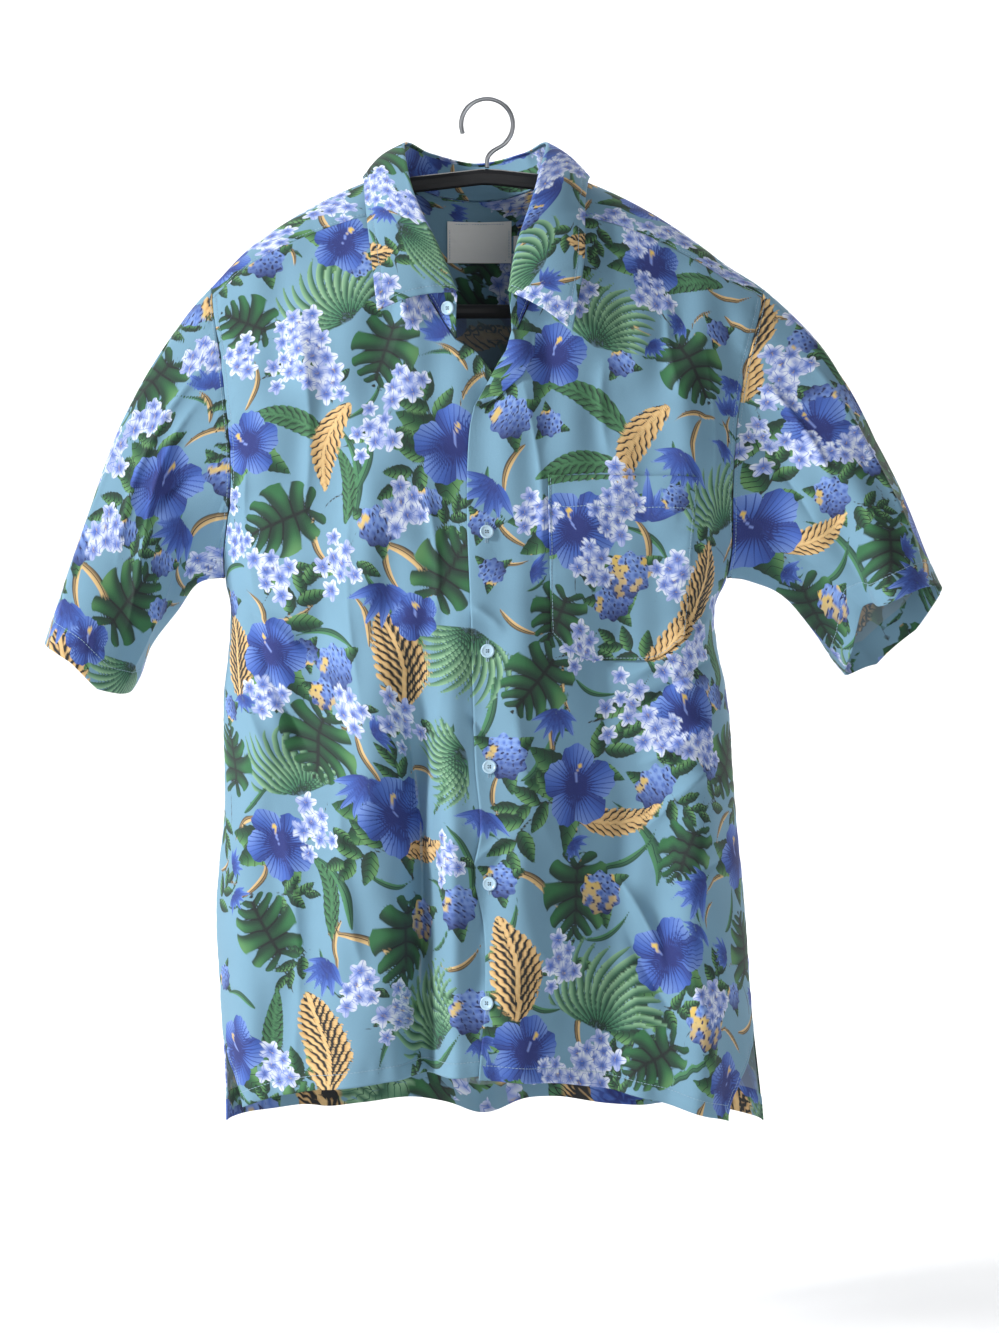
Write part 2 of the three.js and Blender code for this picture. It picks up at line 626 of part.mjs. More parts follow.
function backPanel() {
  const startX = edgeX(-1, ridge(SHOULDER_END) - YOKE_BACK_DIP);
  const endX = edgeX(1, ridge(SHOULDER_END) - YOKE_BACK_DIP);
  const top = [];
  for (let i = 0; i <= BACK_COLUMNS; i += 1) {
    const x = lerp(startX, endX, i / BACK_COLUMNS);
    const z = backSeamZ(x) - SEAM_GAP / 2;
    top.push([angleAt(x, z), z]);
  }
  const line = (side, start, frontTop) => Array.from({ length: ROWS + 1 }, (_, j) => {
    if (j === 0) return start;
    if (j < ARMPIT_ROW) {
      const z = lerp(start[1], ARMPIT_Z, 1 - Math.pow(1 - j / ARMPIT_ROW, ARMHOLE_EASE));
      return [angleAt(edgeX(side, z), z), z];
    }
    const z = sideZ(j, frontTop, BACK_HEM_Z);
    const seam = SEAM_GAP / 2 / section(z).back / DEG;
    return [side * (90 - seam) * DEG, z];
  });
  const inner = line(-1, top[0], top[0][1]);
  const outer = line(1, top[BACK_COLUMNS], top[BACK_COLUMNS][1]);
  const bottom = top.map((_, i) => [lerp(inner[ROWS][0], outer[ROWS][0], i / BACK_COLUMNS), BACK_HEM_Z]);
  return patch(BACK_COLUMNS, ROWS, top, bottom, inner, outer)
    .map((row) => row.map(([angle, z]) => roundPoint(1, angle, z)));
}

// Armhole points from the panels that meet there, from the crown round the front, and moved
// clear of their rims: along the cloth at the crown, and straight out sideways under the arm
function armhole(side, front, yoke, back) {
  const edgeOf = (grid, fromEnd) => grid.map((line) => {
    const last = fromEnd ? line.length - 1 : 0;
    const before = fromEnd ? last - 1 : 1;
    const out = line[last].clone().sub(line[before]).normalize();
    return { point: line[last], out };
  });
  const frontEdge = edgeOf(front, true).slice(0, ARMPIT_ROW + 1);
  const yokeEdge = edgeOf(yoke, side > 0);
  const backEdge = edgeOf(back, side > 0).slice(0, ARMPIT_ROW + 1);
  const join = (a, b) => ({ point: a.point.clone().add(b.point).multiplyScalar(0.5),
    out: a.out.clone().add(b.out).normalize() });
  const ring = [
    join(yokeEdge[0], frontEdge[0]),
    ...frontEdge.slice(1, ARMPIT_ROW),
    join(frontEdge[ARMPIT_ROW], backEdge[ARMPIT_ROW]),
    ...backEdge.slice(1, ARMPIT_ROW).reverse(),
    join(backEdge[0], yokeEdge[YOKE_ROWS]),
    ...yokeEdge.slice(1, YOKE_ROWS).reverse(),
  ];
  return ring.map(({ point, out }) => {
    const low = smooth(SLEEVE_OFF.lowFrom, ARMPIT_Z, point.z);
    const sideways = new THREE.Vector3(side * (SLEEVE_OFF.lean + low), 0, 0);
    const way = out.clone().multiplyScalar(1 - low).add(sideways).normalize();
    const walls = lerp(SLEEVE_OFF.crown, SLEEVE_OFF.under, low);
    return point.clone().addScaledVector(way, SEAM_GAP + WALL * walls);
  });
}

// Angle round the sleeve of each armhole point: 0 at the crown, 90 in front, 180 under the arm
function turnsOf(ring) {
  const middle = ring.reduce((sum, p) => sum.add(p), new THREE.Vector3()).multiplyScalar(1 / ring.length);
  const high = Math.max(...ring.map((p) => p.z)) - middle.z;
  const deep = Math.max(...ring.map((p) => Math.abs(p.y - middle.y)));
  return ring.map((p) => {
    const turn = Math.atan2(-(p.y - middle.y) / deep, (p.z - middle.z) / high) / DEG;
    return (turn + 360) % 360;
  });
}

function sleeveGrid(sleeve, ring, hemWave, folds) {
  const turns = turnsOf(ring);
  const crown = new THREE.Vector3(sleeve.crown[0], 0, sleeve.crown[1]);
  const under = new THREE.Vector3(sleeve.under[0], 0, sleeve.under[1]);
  const flat = (pair) => new THREE.Vector3(pair[0], 0, pair[1]).normalize();
  const blend = (a, b, t) => flat(a).lerp(flat(b), t).normalize();
  const lines = ring.map((start, k) => {
    const turn = turns[k] * DEG;
    const low = (1 - Math.cos(turn)) / 2;
    const hem = crown.clone().lerp(under, low);
    hem.y = -sleeve.depth * Math.sin(turn);
    hem.z += straight(hemWave, 'turn', 'up', turns[k]);
    const reach = start.distanceTo(hem) / 3;
    const first = start.clone().addScaledVector(blend(sleeve.crownStart, sleeve.underStart, low), reach);
    const second = hem.clone().addScaledVector(blend(sleeve.crownEnd, sleeve.underEnd, low), -reach);
    second.y = lerp(hem.y, second.y, 0.5);
    return new THREE.CubicBezierCurve3(start, first, second, hem);
  });
  const grid = [];
  for (let j = 0; j <= SLEEVE_ROWS; j += 1) {
    grid.push(lines.map((line) => line.getPoint(j / SLEEVE_ROWS)));
  }
  const normals = gridNormals(grid, true);
  const flip = sleeve.side;
  return grid.map((line, j) => line.map((point, i) => {
    const t = j / SLEEVE_ROWS;
    let lift = 0;
    for (const fold of folds) {
      const along = clamp((t - fold.from) / (fold.to - fold.from));
      const centre = lerp(fold.turnTop, fold.turnHem, along);
      const across = (turns[i] - centre) / fold.width;
      lift += fold.lift * smooth(0, 0.5, along) * Math.exp(-across * across);
    }
    return point.clone().addScaledVector(normals[j][i], flip * lift);
  }));
}

// Collar

// Neckline points from the panels, from the right front round the back to the left front, with
// the way into the neck: along the cloth, square to the neckline
function neckline(frontRight, yoke, yokeNormals, frontLeft) {
  const middle = new THREE.Vector3(NECK_X, 0, RIDGE_Z);
  const take = (grid, normals, from, to) => {
    const list = [];
    const step = Math.sign(to - from);
    for (let i = from; i !== to + step; i += step) {
      const next = grid[0][Math.min(Math.max(from, to), i + 1)];
      const before = grid[0][Math.max(Math.min(from, to), i - 1)];
      const into = next.clone().sub(before).cross(normals[0][i]).normalize();
      if (into.dot(middle.clone().sub(grid[0][i])) < 0) into.negate();
      list.push({ point: grid[0][i], into });
    }
    return list;
  };
  const start = OPEN_COLUMNS;
  const end = OPEN_COLUMNS + NECK_COLUMNS;
  const rightSide = take(frontRight, gridNormals(frontRight, false), start, end);
  const round = take(yoke, yokeNormals, SEAM_COLUMNS, SEAM_COLUMNS + YOKE_NECK_COLUMNS);
  const leftSide = take(frontLeft, gridNormals(frontLeft, false), end, start);
  const join = (a, b) => ({ point: a.point.clone().add(b.point).multiplyScalar(0.5),
    into: a.into.clone().add(b.into).normalize() });
  return [
    ...rightSide.slice(0, -1),
    join(rightSide[NECK_COLUMNS], round[0]),
    ...round.slice(1, -1),
    join(round[YOKE_NECK_COLUMNS], leftSide[0]),
    ...leftSide.slice(1),
  ];
}

function collarStations(neck) {
  const lengths = [0];
  for (let k = 1; k < neck.length; k += 1) {
    lengths.push(lengths[k - 1] + neck[k].point.distanceTo(neck[k - 1].point));
  }
  const total = lengths[lengths.length - 1];
  const read = (name, at) => new THREE.Vector3(column(COLLAR, 'at', `${name}X`, at),
    column(COLLAR, 'at', `${name}Y`, at), column(COLLAR, 'at', `${name}Z`, at));
  const stations = neck.map(({ point, into }, k) => {
    const at = lengths[k] / total;
    const fold = read('fold', at);
    const base = point.clone().addScaledVector(into, SEAM_GAP + WALL);
    return { base, fold, edge: read('edge', at) };
  });
  return stations.map((station, k) => {
    const along = stations[Math.min(stations.length - 1, k + 1)].fold.clone()
      .sub(stations[Math.max(0, k - 1)].fold).normalize();
    const up = station.fold.clone().sub(station.base).normalize();
    const out = along.clone().cross(up).normalize();
    if (out.dot(station.edge.clone().sub(station.fold)) < 0) out.negate();
    return { ...station, up, out };
  });
}

function standGrid(stations) {
  const grid = [];
  for (let j = 0; j <= STAND_ROWS; j += 1) {
    const t = j / STAND_ROWS;
    grid.push(stations.map(({ base, fold, out }) => base.clone().lerp(fold, t * STAND_SHARE)
      .addScaledVector(out, STAND_BULGE * Math.sin(Math.PI * t))));
  }
  return grid;
}

function fallGrid(stations) {
  return Array.from({ length: FALL_ROWS + 1 }, (_, j) => stations.map(({ fold, edge, up, out }) => {
    const centre = fold.clone().addScaledVector(up, FOLD_CLEARANCE - FOLD_RADIUS);
    const away = edge.clone().sub(centre);
    const steep = Math.atan2(-away.dot(up), away.dot(out));
    const end = Math.max(ROLL.least, Math.min(ROLL.most, steep * ROLL.share + ROLL.extra));
    const round = (turn) => centre.clone().addScaledVector(up, FOLD_RADIUS * Math.cos(turn))
      .addScaledVector(out, FOLD_RADIUS * Math.sin(turn));
    if (j <= FOLD_ROWS) return round(end * (j / FOLD_ROWS));
    const t = (j - FOLD_ROWS) / (FALL_ROWS - FOLD_ROWS);
    const lift = out.clone().multiplyScalar(-away.dot(up)).addScaledVector(up, away.dot(out)).normalize();
    return round(end).lerp(edge, t).addScaledVector(lift, FALL_BULGE * Math.sin(Math.PI * t));
  }));
}

// Pieces that lie on a panel

// Point and outward normal of a panel's grid below a place seen from the front, or of its nearest
// triangle when the place is just past the edge
function onPanel(grid, x, z) {
  const normals = gridNormals(grid, false);
  const weightsIn = (a, b, c) => {
    const area = (b.x - a.x) * (c.z - a.z) - (c.x - a.x) * (b.z - a.z);
    if (Math.abs(area) < 1) return null;
    const wb = ((x - a.x) * (c.z - a.z) - (c.x - a.x) * (z - a.z)) / area;
    const wc = ((b.x - a.x) * (z - a.z) - (x - a.x) * (b.z - a.z)) / area;
    return [1 - wb - wc, wb, wc];
  };
  let best = null;
  for (let j = 0; j < grid.length - 1; j += 1) {
    for (let i = 0; i < grid[0].length - 1; i += 1) {
      for (const corners of [[[j, i], [j, i + 1], [j + 1, i + 1]], [[j, i], [j + 1, i + 1], [j + 1, i]]]) {
        const weights = weightsIn(...corners.map(([row, line]) => grid[row][line]));
        const least = weights ? Math.min(...weights) : -Infinity;
        if (!best || least > best.least) best = { corners, weights, least };
      }
    }
  }
  const point = new THREE.Vector3();
  const normal = new THREE.Vector3();
  best.corners.forEach(([row, line], k) => {
    point.addScaledVector(grid[row][line], best.weights[k]);
    normal.addScaledVector(normals[row][line], best.weights[k]);
  });
  normal.normalize();
  return { point, normal: normal.y > 0 ? normal.negate() : normal };
}

// Grid of points from shares across and down
const gridOf = (columns, rows, point) => Array.from({ length: rows + 1 },
  (_, j) => Array.from({ length: columns + 1 }, (__, i) => point(i / columns, j / rows)));

function lapelGrid(front) {
  return gridOf(LAPEL_COLUMNS, LAPEL_ROWS, (u, v) => {
    const x = lerp(straight(LAPEL, 'at', 'foldX', v), straight(LAPEL, 'at', 'edgeX', v), u);
    const z = lerp(straight(LAPEL, 'at', 'foldZ', v), straight(LAPEL, 'at', 'edgeZ', v), u);
    const base = onPanel(front, x + WALL / 2, z - WALL / 3);
    const raise = LAYER_STEP + LAPEL_BULGE * Math.sin(Math.PI * Math.min(1, LAPEL_ROLL_START + u));
    return new THREE.Vector3(x, base.point.y - raise, z);
  });
}

function pocketGrid(front) {
  return gridOf(POCKET_COLUMNS, POCKET_ROWS, (u, v) => {
    const x = lerp(POCKET.left + POCKET.slantLeft * v, POCKET.right - POCKET.taper * v, u);
    const rise = (height, near) => height * Math.pow(clamp(near), CORNER_CURVE);
    const corner = rise(POCKET.cornerLeft, 1 - u / POCKET.shareLeft)
      + rise(POCKET.cornerRight, 1 - (1 - u) / POCKET.shareRight);
    const z = lerp(POCKET.top, POCKET.bottom + corner, v);
    const base = onPanel(front, x, z);
    return base.point.addScaledVector(base.normal, POCKET.step);
  });
}

function labelGrid(size, yoke) {
  return gridOf(size.columns, LABEL_ROWS, (u, v) => {
    const x = lerp(size.left, size.right, u);
    const z = lerp(size.top, size.bottom, v);
    return new THREE.Vector3(x, onPanel(yoke, x, z).point.y - LAYER_STEP, z);
  });
}

function buttonGeometry() {
  const scaled = ({ out, up }) => new THREE.Vector2(out * BUTTON_RADIUS, up * BUTTON_HEIGHT);
  const points = BUTTON_PROFILE.map(scaled);
  return new THREE.LatheGeometry(points, BUTTON_SIDES);
}

function placeOn(mesh, base, height) {
  mesh.quaternion.setFromUnitVectors(new THREE.Vector3(0, 1, 0), base.normal);
  mesh.position.copy(base.point).addScaledVector(base.normal, height);
  return mesh;
}

// Hanger

// Centre line of the hanger's closed loop: arms under the shoulders, round ends and a low bar
function hangerPath() {
  const top = (x) => Math.min(ridge(x) - HANGER_CLEARANCE, HANGER_TOP - HANGER_NECK_SLOPE * Math.abs(x));
  const path = [];
  for (let k = 0; k <= ARM_STEPS; k += 1) {
    const x = lerp(HANGER_ENDS[0], HANGER_ENDS[1], k / ARM_STEPS);
    const slope = (top(x + 1) - top(x - 1)) / 2;
    const down = BAR_RADIUS_Z / Math.hypot(1, slope);
    path.push({ x: x + slope * down, z: top(x) - down, radius: BAR_RADIUS_Z });
  }
  // Each end leaves its arm straight on and comes back level into the low bar
  const bend = (side, end, before) => {
    const along = new THREE.Vector2(end.x - before.x, end.z - before.z).setLength(END_REACH);
    const low = { x: end.x + side * END_OUT, z: LOW_BAR_Z };
    const curve = new THREE.CubicBezierCurve(new THREE.Vector2(end.x, end.z),
      new THREE.Vector2(end.x + along.x, end.z + along.y),
      new THREE.Vector2(low.x + side * END_REACH, low.z), new THREE.Vector2(low.x, low.z));
    return Array.from({ length: BEND_STEPS - 1 }, (_, k) => {
      const t = (k + 1) / BEND_STEPS;
      const point = curve.getPoint(t);
      return { x: point.x, z: point.y, radius: lerp(BAR_RADIUS_Z, LOW_BAR_RADIUS, t) };
    });
  };
  path.push(...bend(1, path[ARM_STEPS], path[ARM_STEPS - 1]));
  for (let k = 0; k <= LOW_BAR_STEPS; k += 1) {
    const x = lerp(path[ARM_STEPS].x, path[0].x, k / LOW_BAR_STEPS);
    path.push({ x, z: LOW_BAR_Z, radius: LOW_BAR_RADIUS });
  }
  path.push(...bend(-1, path[0], path[1]).reverse());
  return path;
}

function hangerGeometry() {
  const path = hangerPath();
  const sides = BAR_SIDES;
  const positions = [];
  const index = [];
  path.forEach((p, k) => {
    const next = path[(k + 1) % path.length];
    const before = path[(k + path.length - 1) % path.length];
    const along = new THREE.Vector3(next.x - before.x, 0, next.z - before.z).normalize();
    const out = new THREE.Vector3(-along.z, 0, along.x);
    for (let i = 0; i < sides; i += 1) {
      const turn = i / sides * 2 * Math.PI;
      const point = new THREE.Vector3(p.x, BAR_RADIUS_Y * Math.sin(turn), p.z)
        .addScaledVector(out, p.radius * Math.cos(turn));
      positions.push(point.x, point.y, point.z);
      const a = k * sides + i;
      const b = k * sides + (i + 1) % sides;
      const c = ((k + 1) % path.length) * sides + (i + 1) % sides;
      const d = ((k + 1) % path.length) * sides + i;
      index.push(a, b, c, a, c, d);
    }
  });
  const geometry = new THREE.BufferGeometry();
  geometry.setAttribute('position', new THREE.Float32BufferAttribute(positions, 3));
  geometry.setIndex(index);
  facingOut(geometry);
  geometry.computeVertexNormals();
  return geometry;
}

// Wire hook: most of a circle round the origin's rod, a bend back to the middle and a straight stem
function hookGeometry() {
  const radius = HOOK_INSIDE + HOOK_WIRE;
  const centre = -HOOK_INSIDE;
  const points = [];
  for (let k = 0; k <= HOOK_ARC_STEPS; k += 1) {
    const turn = lerp(HOOK_TURNS[0], HOOK_TURNS[1], k / HOOK_ARC_STEPS) * DEG;
    points.push(new THREE.Vector3(radius * Math.cos(turn), 0, centre + radius * Math.sin(turn)));
  }
  HOOK_BEND.forEach(({ x, z }) => points.push(new THREE.Vector3(x, 0, z)));
  points.push(new THREE.Vector3(0, 0, HANGER_TOP + SEAM_GAP));
  const extrudePath = new THREE.CatmullRomCurve3(points, false, 'centripetal');
  const round = new THREE.Shape();
  round.absarc(0, 0, HOOK_WIRE, 0, 2 * Math.PI);
  const steps = HOOK_LENGTH_STEPS;
  return new THREE.ExtrudeGeometry(round, { steps, extrudePath, curveSegments: 5, bevelEnabled: false });
}

// Assembly
const shirt = new THREE.Group();

function addMesh(name, geometry, look) {
  const mesh = new THREE.Mesh(geometry, new THREE.MeshStandardMaterial({ ...look }));
  mesh.name = name;
  shirt.add(mesh);
  return mesh;
}

const frontRight = tuckUnder(frontPanel(-1, NECK_RIGHT, OPEN_RIGHT, EDGE_RIGHT, HEM_RIGHT));
const frontLeft = frontPanel(1, NECK_LEFT, OPEN_LEFT, EDGE_LEFT, HEM_LEFT);
const yokeCloth = yokeGrid();
const yoke = yokeCloth.map((line) => line.map(({ point }) => point));
const yokeNormals = yokeCloth.map((line) => line.map(({ normal }) => normal));
const back = backPanel();
addMesh('front_right', wallGeometry(frontRight, WALL), CLOTH);
addMesh('front_left', wallGeometry(frontLeft, WALL), CLOTH);
addMesh('yoke', wallGeometry(yoke, WALL, false, yokeNormals), CLOTH);
addMesh('back', wallGeometry(back, WALL), CLOTH);

const rightRing = armhole(-1, frontRight, yoke, back);
const leftRing = armhole(1, frontLeft, yoke, back);
const rightSleeve = sleeveGrid(SLEEVE_RIGHT, rightRing, HEM_WAVE_RIGHT, SLEEVE_FOLDS_RIGHT);
const leftSleeve = sleeveGrid(SLEEVE_LEFT, leftRing, HEM_WAVE_LEFT, SLEEVE_FOLDS_LEFT);
addMesh('sleeve_right', wallGeometry(rightSleeve, WALL, true), CLOTH);
addMesh('sleeve_left', wallGeometry(leftSleeve, WALL, true), CLOTH);

const collar = collarStations(neckline(frontRight, yoke, yokeNormals, frontLeft));
const stand = standGrid(collar);
addMesh('collar_stand', wallGeometry(stand, WALL), CLOTH);
addMesh('collar_fall', wallGeometry(fallGrid(collar), WALL), CLOTH);
addMesh('front_facing', wallGeometry(lapelGrid(frontLeft), WALL), CLOTH);
addMesh('pocket', wallGeometry(pocketGrid(frontLeft), WALL), CLOTH);

const BUTTON_SEAT = WALL / 2 + SEAM_GAP + BUTTON_LIFT + BUTTON_HEIGHT / 2;
BUTTON_Z.forEach((z, k) => {
  const button = addMesh(`button_${k + 1}`, buttonGeometry(), BUTTON_PLASTIC);
  placeOn(button, onPanel(frontLeft, BUTTON_X[k], z), BUTTON_SEAT);
});
const standButton = addMesh('button_stand', buttonGeometry(), BUTTON_PLASTIC);
placeOn(standButton, onPanel(stand, STAND_BUTTON.x, STAND_BUTTON.z), BUTTON_SEAT);

addMesh('neck_label', wallGeometry(labelGrid(LABEL, yoke), LABEL_WALL), LABEL_CLOTH);
addMesh('size_tab', wallGeometry(labelGrid(SIZE_TAB, yoke), LABEL_WALL), LABEL_CLOTH);

addMesh('hanger', hangerGeometry(), HANGER_PLASTIC);
addMesh('hanger_hook', hookGeometry(), HOOK_STEEL);

export default shirt;
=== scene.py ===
"""Short-sleeved tropical shirt on a black hanger. Cloth sizes are in millimetres until a mesh is made."""
import math
import bpy
import numpy as np
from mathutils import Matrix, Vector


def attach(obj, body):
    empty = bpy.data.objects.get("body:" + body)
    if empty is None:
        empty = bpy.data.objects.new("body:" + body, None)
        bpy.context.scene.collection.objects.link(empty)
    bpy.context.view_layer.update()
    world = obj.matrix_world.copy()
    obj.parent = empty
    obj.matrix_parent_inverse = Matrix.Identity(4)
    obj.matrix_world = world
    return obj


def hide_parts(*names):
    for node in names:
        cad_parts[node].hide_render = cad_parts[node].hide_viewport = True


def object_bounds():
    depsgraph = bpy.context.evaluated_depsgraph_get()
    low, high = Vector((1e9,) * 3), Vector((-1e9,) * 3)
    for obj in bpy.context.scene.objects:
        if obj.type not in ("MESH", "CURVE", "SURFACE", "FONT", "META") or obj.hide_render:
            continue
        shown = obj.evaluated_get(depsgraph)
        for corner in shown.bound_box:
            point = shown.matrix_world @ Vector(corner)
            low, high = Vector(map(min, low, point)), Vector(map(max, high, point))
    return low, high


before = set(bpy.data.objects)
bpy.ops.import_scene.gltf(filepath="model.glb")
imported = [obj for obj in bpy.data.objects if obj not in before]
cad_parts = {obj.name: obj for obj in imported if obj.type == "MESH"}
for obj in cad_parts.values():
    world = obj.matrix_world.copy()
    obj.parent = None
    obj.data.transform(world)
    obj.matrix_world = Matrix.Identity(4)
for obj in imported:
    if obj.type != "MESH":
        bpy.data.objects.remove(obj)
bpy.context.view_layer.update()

# Cloth and seams, in millimetres
WALL, OUT, RIM_DEEP = 1.6, 0.6, 1.3
WRONG_SIDE = OUT - WALL + 0.4
SEAM_GAP, TUCK_STEP, TUCK_REACH = 0.3, 3.0, 34.0
DEG = math.pi / 180
MM = 1000


def table(names, *rows):
    """Named columns of a short table."""
    return dict(zip(names.split(), np.array(rows, float).T))


# Shoulder line and body sections
NECK_X, RIDGE_Z, RIDGE_AT, RIDGE_SLOPE, RIDGE_DROOP = -9.0, -70.6, 95.0, 0.38, 0.0019
SECTIONS = table(
    "z mid half open front back",
    (-60, 0, 243, 0.42, 68, 62),
    (-163, 0.5, 233, 0.38, 70, 64),
    (-245, -3, 216, 0.33, 75, 68),
    (-326, -4, 208, 0.24, 85, 74),
    (-405, -9.5, 212, 0, 90, 78),
    (-430, -12, 205, 0, 90, 78),
    (-513, -9.5, 213.5, 0, 91, 80),
    (-598, -6, 216, 0, 93, 83),
    (-683, -5.5, 223.5, 0, 97, 88),
    (-768, -0.5, 224.5, 0, 101, 92),
    (-853, 6, 227, 0, 105, 96),
    (-900, 8, 229, 0, 106, 97),
)
DOME_FRONT, DOME_BACK, DOME_NECK, DOME_REACH = 230.0, 230.0, 60.0, 160.0
ARMPIT_Z, YOKE_DROP_NECK, YOKE_DROP_ARM = -405.0, 40.0, 12.0
YOKE_BACK_Z, YOKE_BACK_DIP, SEAM_START, SHOULDER_END = -172.0, 42.0, 67.0, 234.0
BACK_HEM_Z, VENT_Z = -866.0, -775.0
# Half width of the neck, its drop at the back, and the share of a half turn that it goes on past each end
NECK_HALF, NECK_BACK_DROP, NECK_PAST = 71.0, 24.0, 0.28

# Soft folds: ends of each fold's middle line, half width, height (minus for a trough)
FOLD_NAMES = "x_top x_low z_top z_low width lift"
FRONT_FOLDS = table(
    FOLD_NAMES,
    (-190, -184, -185, -350, 15, 6),
    (-98, -90, -230, -400, 20, 6),
    (-60, -44, -430, -990, 15, -24),
    (-30, -22, -430, -990, 15, 8),
    (-140, -128, -520, -960, 26, 7),
    (40, 30, -300, -900, 34, 6),
    (96, 92, -400, -990, 46, -15),
    (172, 180, -400, -990, 26, 13),
    (158, 168, -190, -450, 24, 8),
    (-200, -204, -560, -990, 18, 6),
)
# Softer folds, in the cloth's look only
SOFT_FRONT = table(
    FOLD_NAMES,
    (176, 182, -190, -1000, 30, 9),
    (92, 84, -230, -1000, 40, -8),
    (22, 18, -340, -1000, 24, 4),
    (-138, -150, -230, -1000, 24, -8),
    (-98, -92, -190, -1000, 17, 7),
    (-188, -194, -190, -1000, 18, 7),
    (-54, -50, -380, -1100, 15, -9),
    (-30, -26, -380, -1100, 10, 4),
    (130, 118, -640, -1100, 22, 6),
    (-118, -108, -600, -1100, 16, 5),
)
SOFT_BACK = table(
    FOLD_NAMES,
    (-150, -168, -240, -1000, 26, 7),
    (-104, -110, -300, -1000, 20, -6),
    (96, 92, -260, -1000, 24, -7),
    (150, 168, -240, -1000, 26, 7),
    (0, 6, -220, -700, 30, -6),
    (-40, -36, -240, -900, 18, 5),
    (44, 34, -260, -900, 18, 5),
    (200, 204, -500, -1000, 14, 5),
)
BACK_FOLDS = table(
    FOLD_NAMES,
    (-4, -4, -470, -1010, 27, -62),
    (-72, -76, -430, -990, 30, 10),
    (52, 54, -430, -990, 26, 12),
    (-132, -142, -420, -990, 22, -14),
    (118, 126, -420, -990, 24, -16),
    (-178, -182, -230, -620, 18, 6),
    (170, 176, -230, -620, 18, 6),
)

CREASE_DEPTH = 2.9
# The cloth behind the neck label stays flat
LABEL_AT = (-6.0, -108.0)
# Finer creases: two ends, half width, height, and how sharp the crest is (0 round, 1 a crisp line)
CREASE_NAMES = "x0 z0 x1 z1 width lift sharp"
FRONT_CREASES = table(
    CREASE_NAMES,
    (-196, -300, -192, -420, 6, 1.6, 0.8),
    (-158, -190, -150, -360, 7, 1.5, 0.6),
    (-105, -300, -100, -520, 6, 1.4, 0.8),
    (-76, -480, -62, -800, 5, -2.2, 0.7),
    (-118, -560, -96, -740, 7, 1.6, 0.5),
    (-170, -600, -160, -830, 8, 1.8, 0.5),
    (-208, -470, -176, -560, 7, 1.8, 0.6),
    (-205, -430, -150, -470, 8, 2.0, 0.6),
    (-198, -420, -140, -560, 7, -1.6, 0.5),
    (-50, -330, -44, -470, 6, 1.4, 0.8),
    (-36, -500, -30, -800, 4, 1.6, 0.9),
    (-14, -430, 14, -452, 5, 1.2, 0.6),
    (-14, -520, 16, -548, 5, -1.3, 0.6),
    (-12, -640, 22, -618, 5, 1.5, 0.6),
    (22, -500, 60, -640, 9, 1.6, 0.4),
    (70, -520, 58, -800, 9, -1.8, 0.4),
    (118, -490, 196, -430, 8, 2.6, 0.8),
    (122, -520, 200, -470, 6, -2.2, 0.7),
    (130, -560, 190, -520, 7, 2.4, 0.8),
    (132, -612, 196, -560, 7, 2.6, 0.8),
    (140, -650, 200, -640, 7, -2.2, 0.7),
    (96, -640, 146, -726, 7, 2.6, 0.7),
    (112, -690, 158, -770, 7, -1.8, 0.5),
    (150, -700, 186, -806, 9, 2.0, 0.4),
    (36, -700, 90, -760, 9, 1.4, 0.4),
    (182, -220, 176, -400, 6, 1.8, 0.7),
    (150, -176, 160, -260, 6, 1.3, 0.6),
    (30, -250, 42, -420, 6, 1.2, 0.8),
    (96, -230, 100, -310, 6, 1.1, 0.7),
    (-60, -140, -84, -240, 8, 1.2, 0.5),
)
BACK_CREASES = table(
    CREASE_NAMES,
    (-190, -420, -120, -500, 8, 2.0, 0.6),
    (-196, -440, -150, -620, 7, -1.8, 0.5),
    (186, -420, 116, -510, 8, 2.0, 0.6),
    (192, -450, 150, -640, 7, -1.6, 0.5),
    (-100, -230, -90, -470, 7, 1.5, 0.6),
    (84, -226, 76, -460, 7, 1.5, 0.6),
    (-30, -260, -20, -470, 7, -1.6, 0.5),
    (-58, -520, -40, -820, 6, 1.8, 0.7),
    (40, -500, 30, -800, 6, 1.7, 0.7),
    (-160, -640, -110, -720, 8, 1.8, 0.4),
    (150, -620, 96, -730, 8, -1.7, 0.4),
    (-200, -700, -150, -800, 8, 1.6, 0.4),
    (196, -690, 160, -820, 8, 1.7, 0.4),
    (-40, -170, 40, -184, 8, 1.2, 0.4),
    (-180, -200, -130, -300, 8, 1.6, 0.5),
    (176, -196, 120, -310, 8, 1.6, 0.5),
)

# Panels: neck, open edge, closing edge and hem of each front
NECK_RIGHT = dict(end_x=-26, end_z=-212, pull_x=-71, pull_z=-146, seam_x=-76)
NECK_LEFT = dict(end_x=22, end_z=-212, pull_x=53, pull_z=-146, seam_x=58)
OPEN_RIGHT = table("at x z", (0, 12, -264), (0.34, 5, -240), (0.67, -8, -223), (1, -26, -212))
OPEN_LEFT = table("at x z", (0, -10, -268), (0.34, -0.5, -251), (0.67, 9, -233), (1, 22, -212))
EDGE_RIGHT = table("z x", (-264, 12), (-812, 12))
EDGE_LEFT = table(
    "z x", (-268, -10), (-290, -14), (-459, -12), (-560, -9), (-616, -5),
    (-645, -10), (-692, -2), (-742, -1), (-812, -6),
)
HEM_RIGHT = dict(side=-845, middle=-816, closing=-808, open=24)
HEM_LEFT = dict(side=-854, middle=-822, closing=-812, open=32)
OPEN_COLUMNS, NECK_COLUMNS, SEAM_COLUMNS, ROWS, ARMPIT_ROW = 3, 7, 12, 24, 9
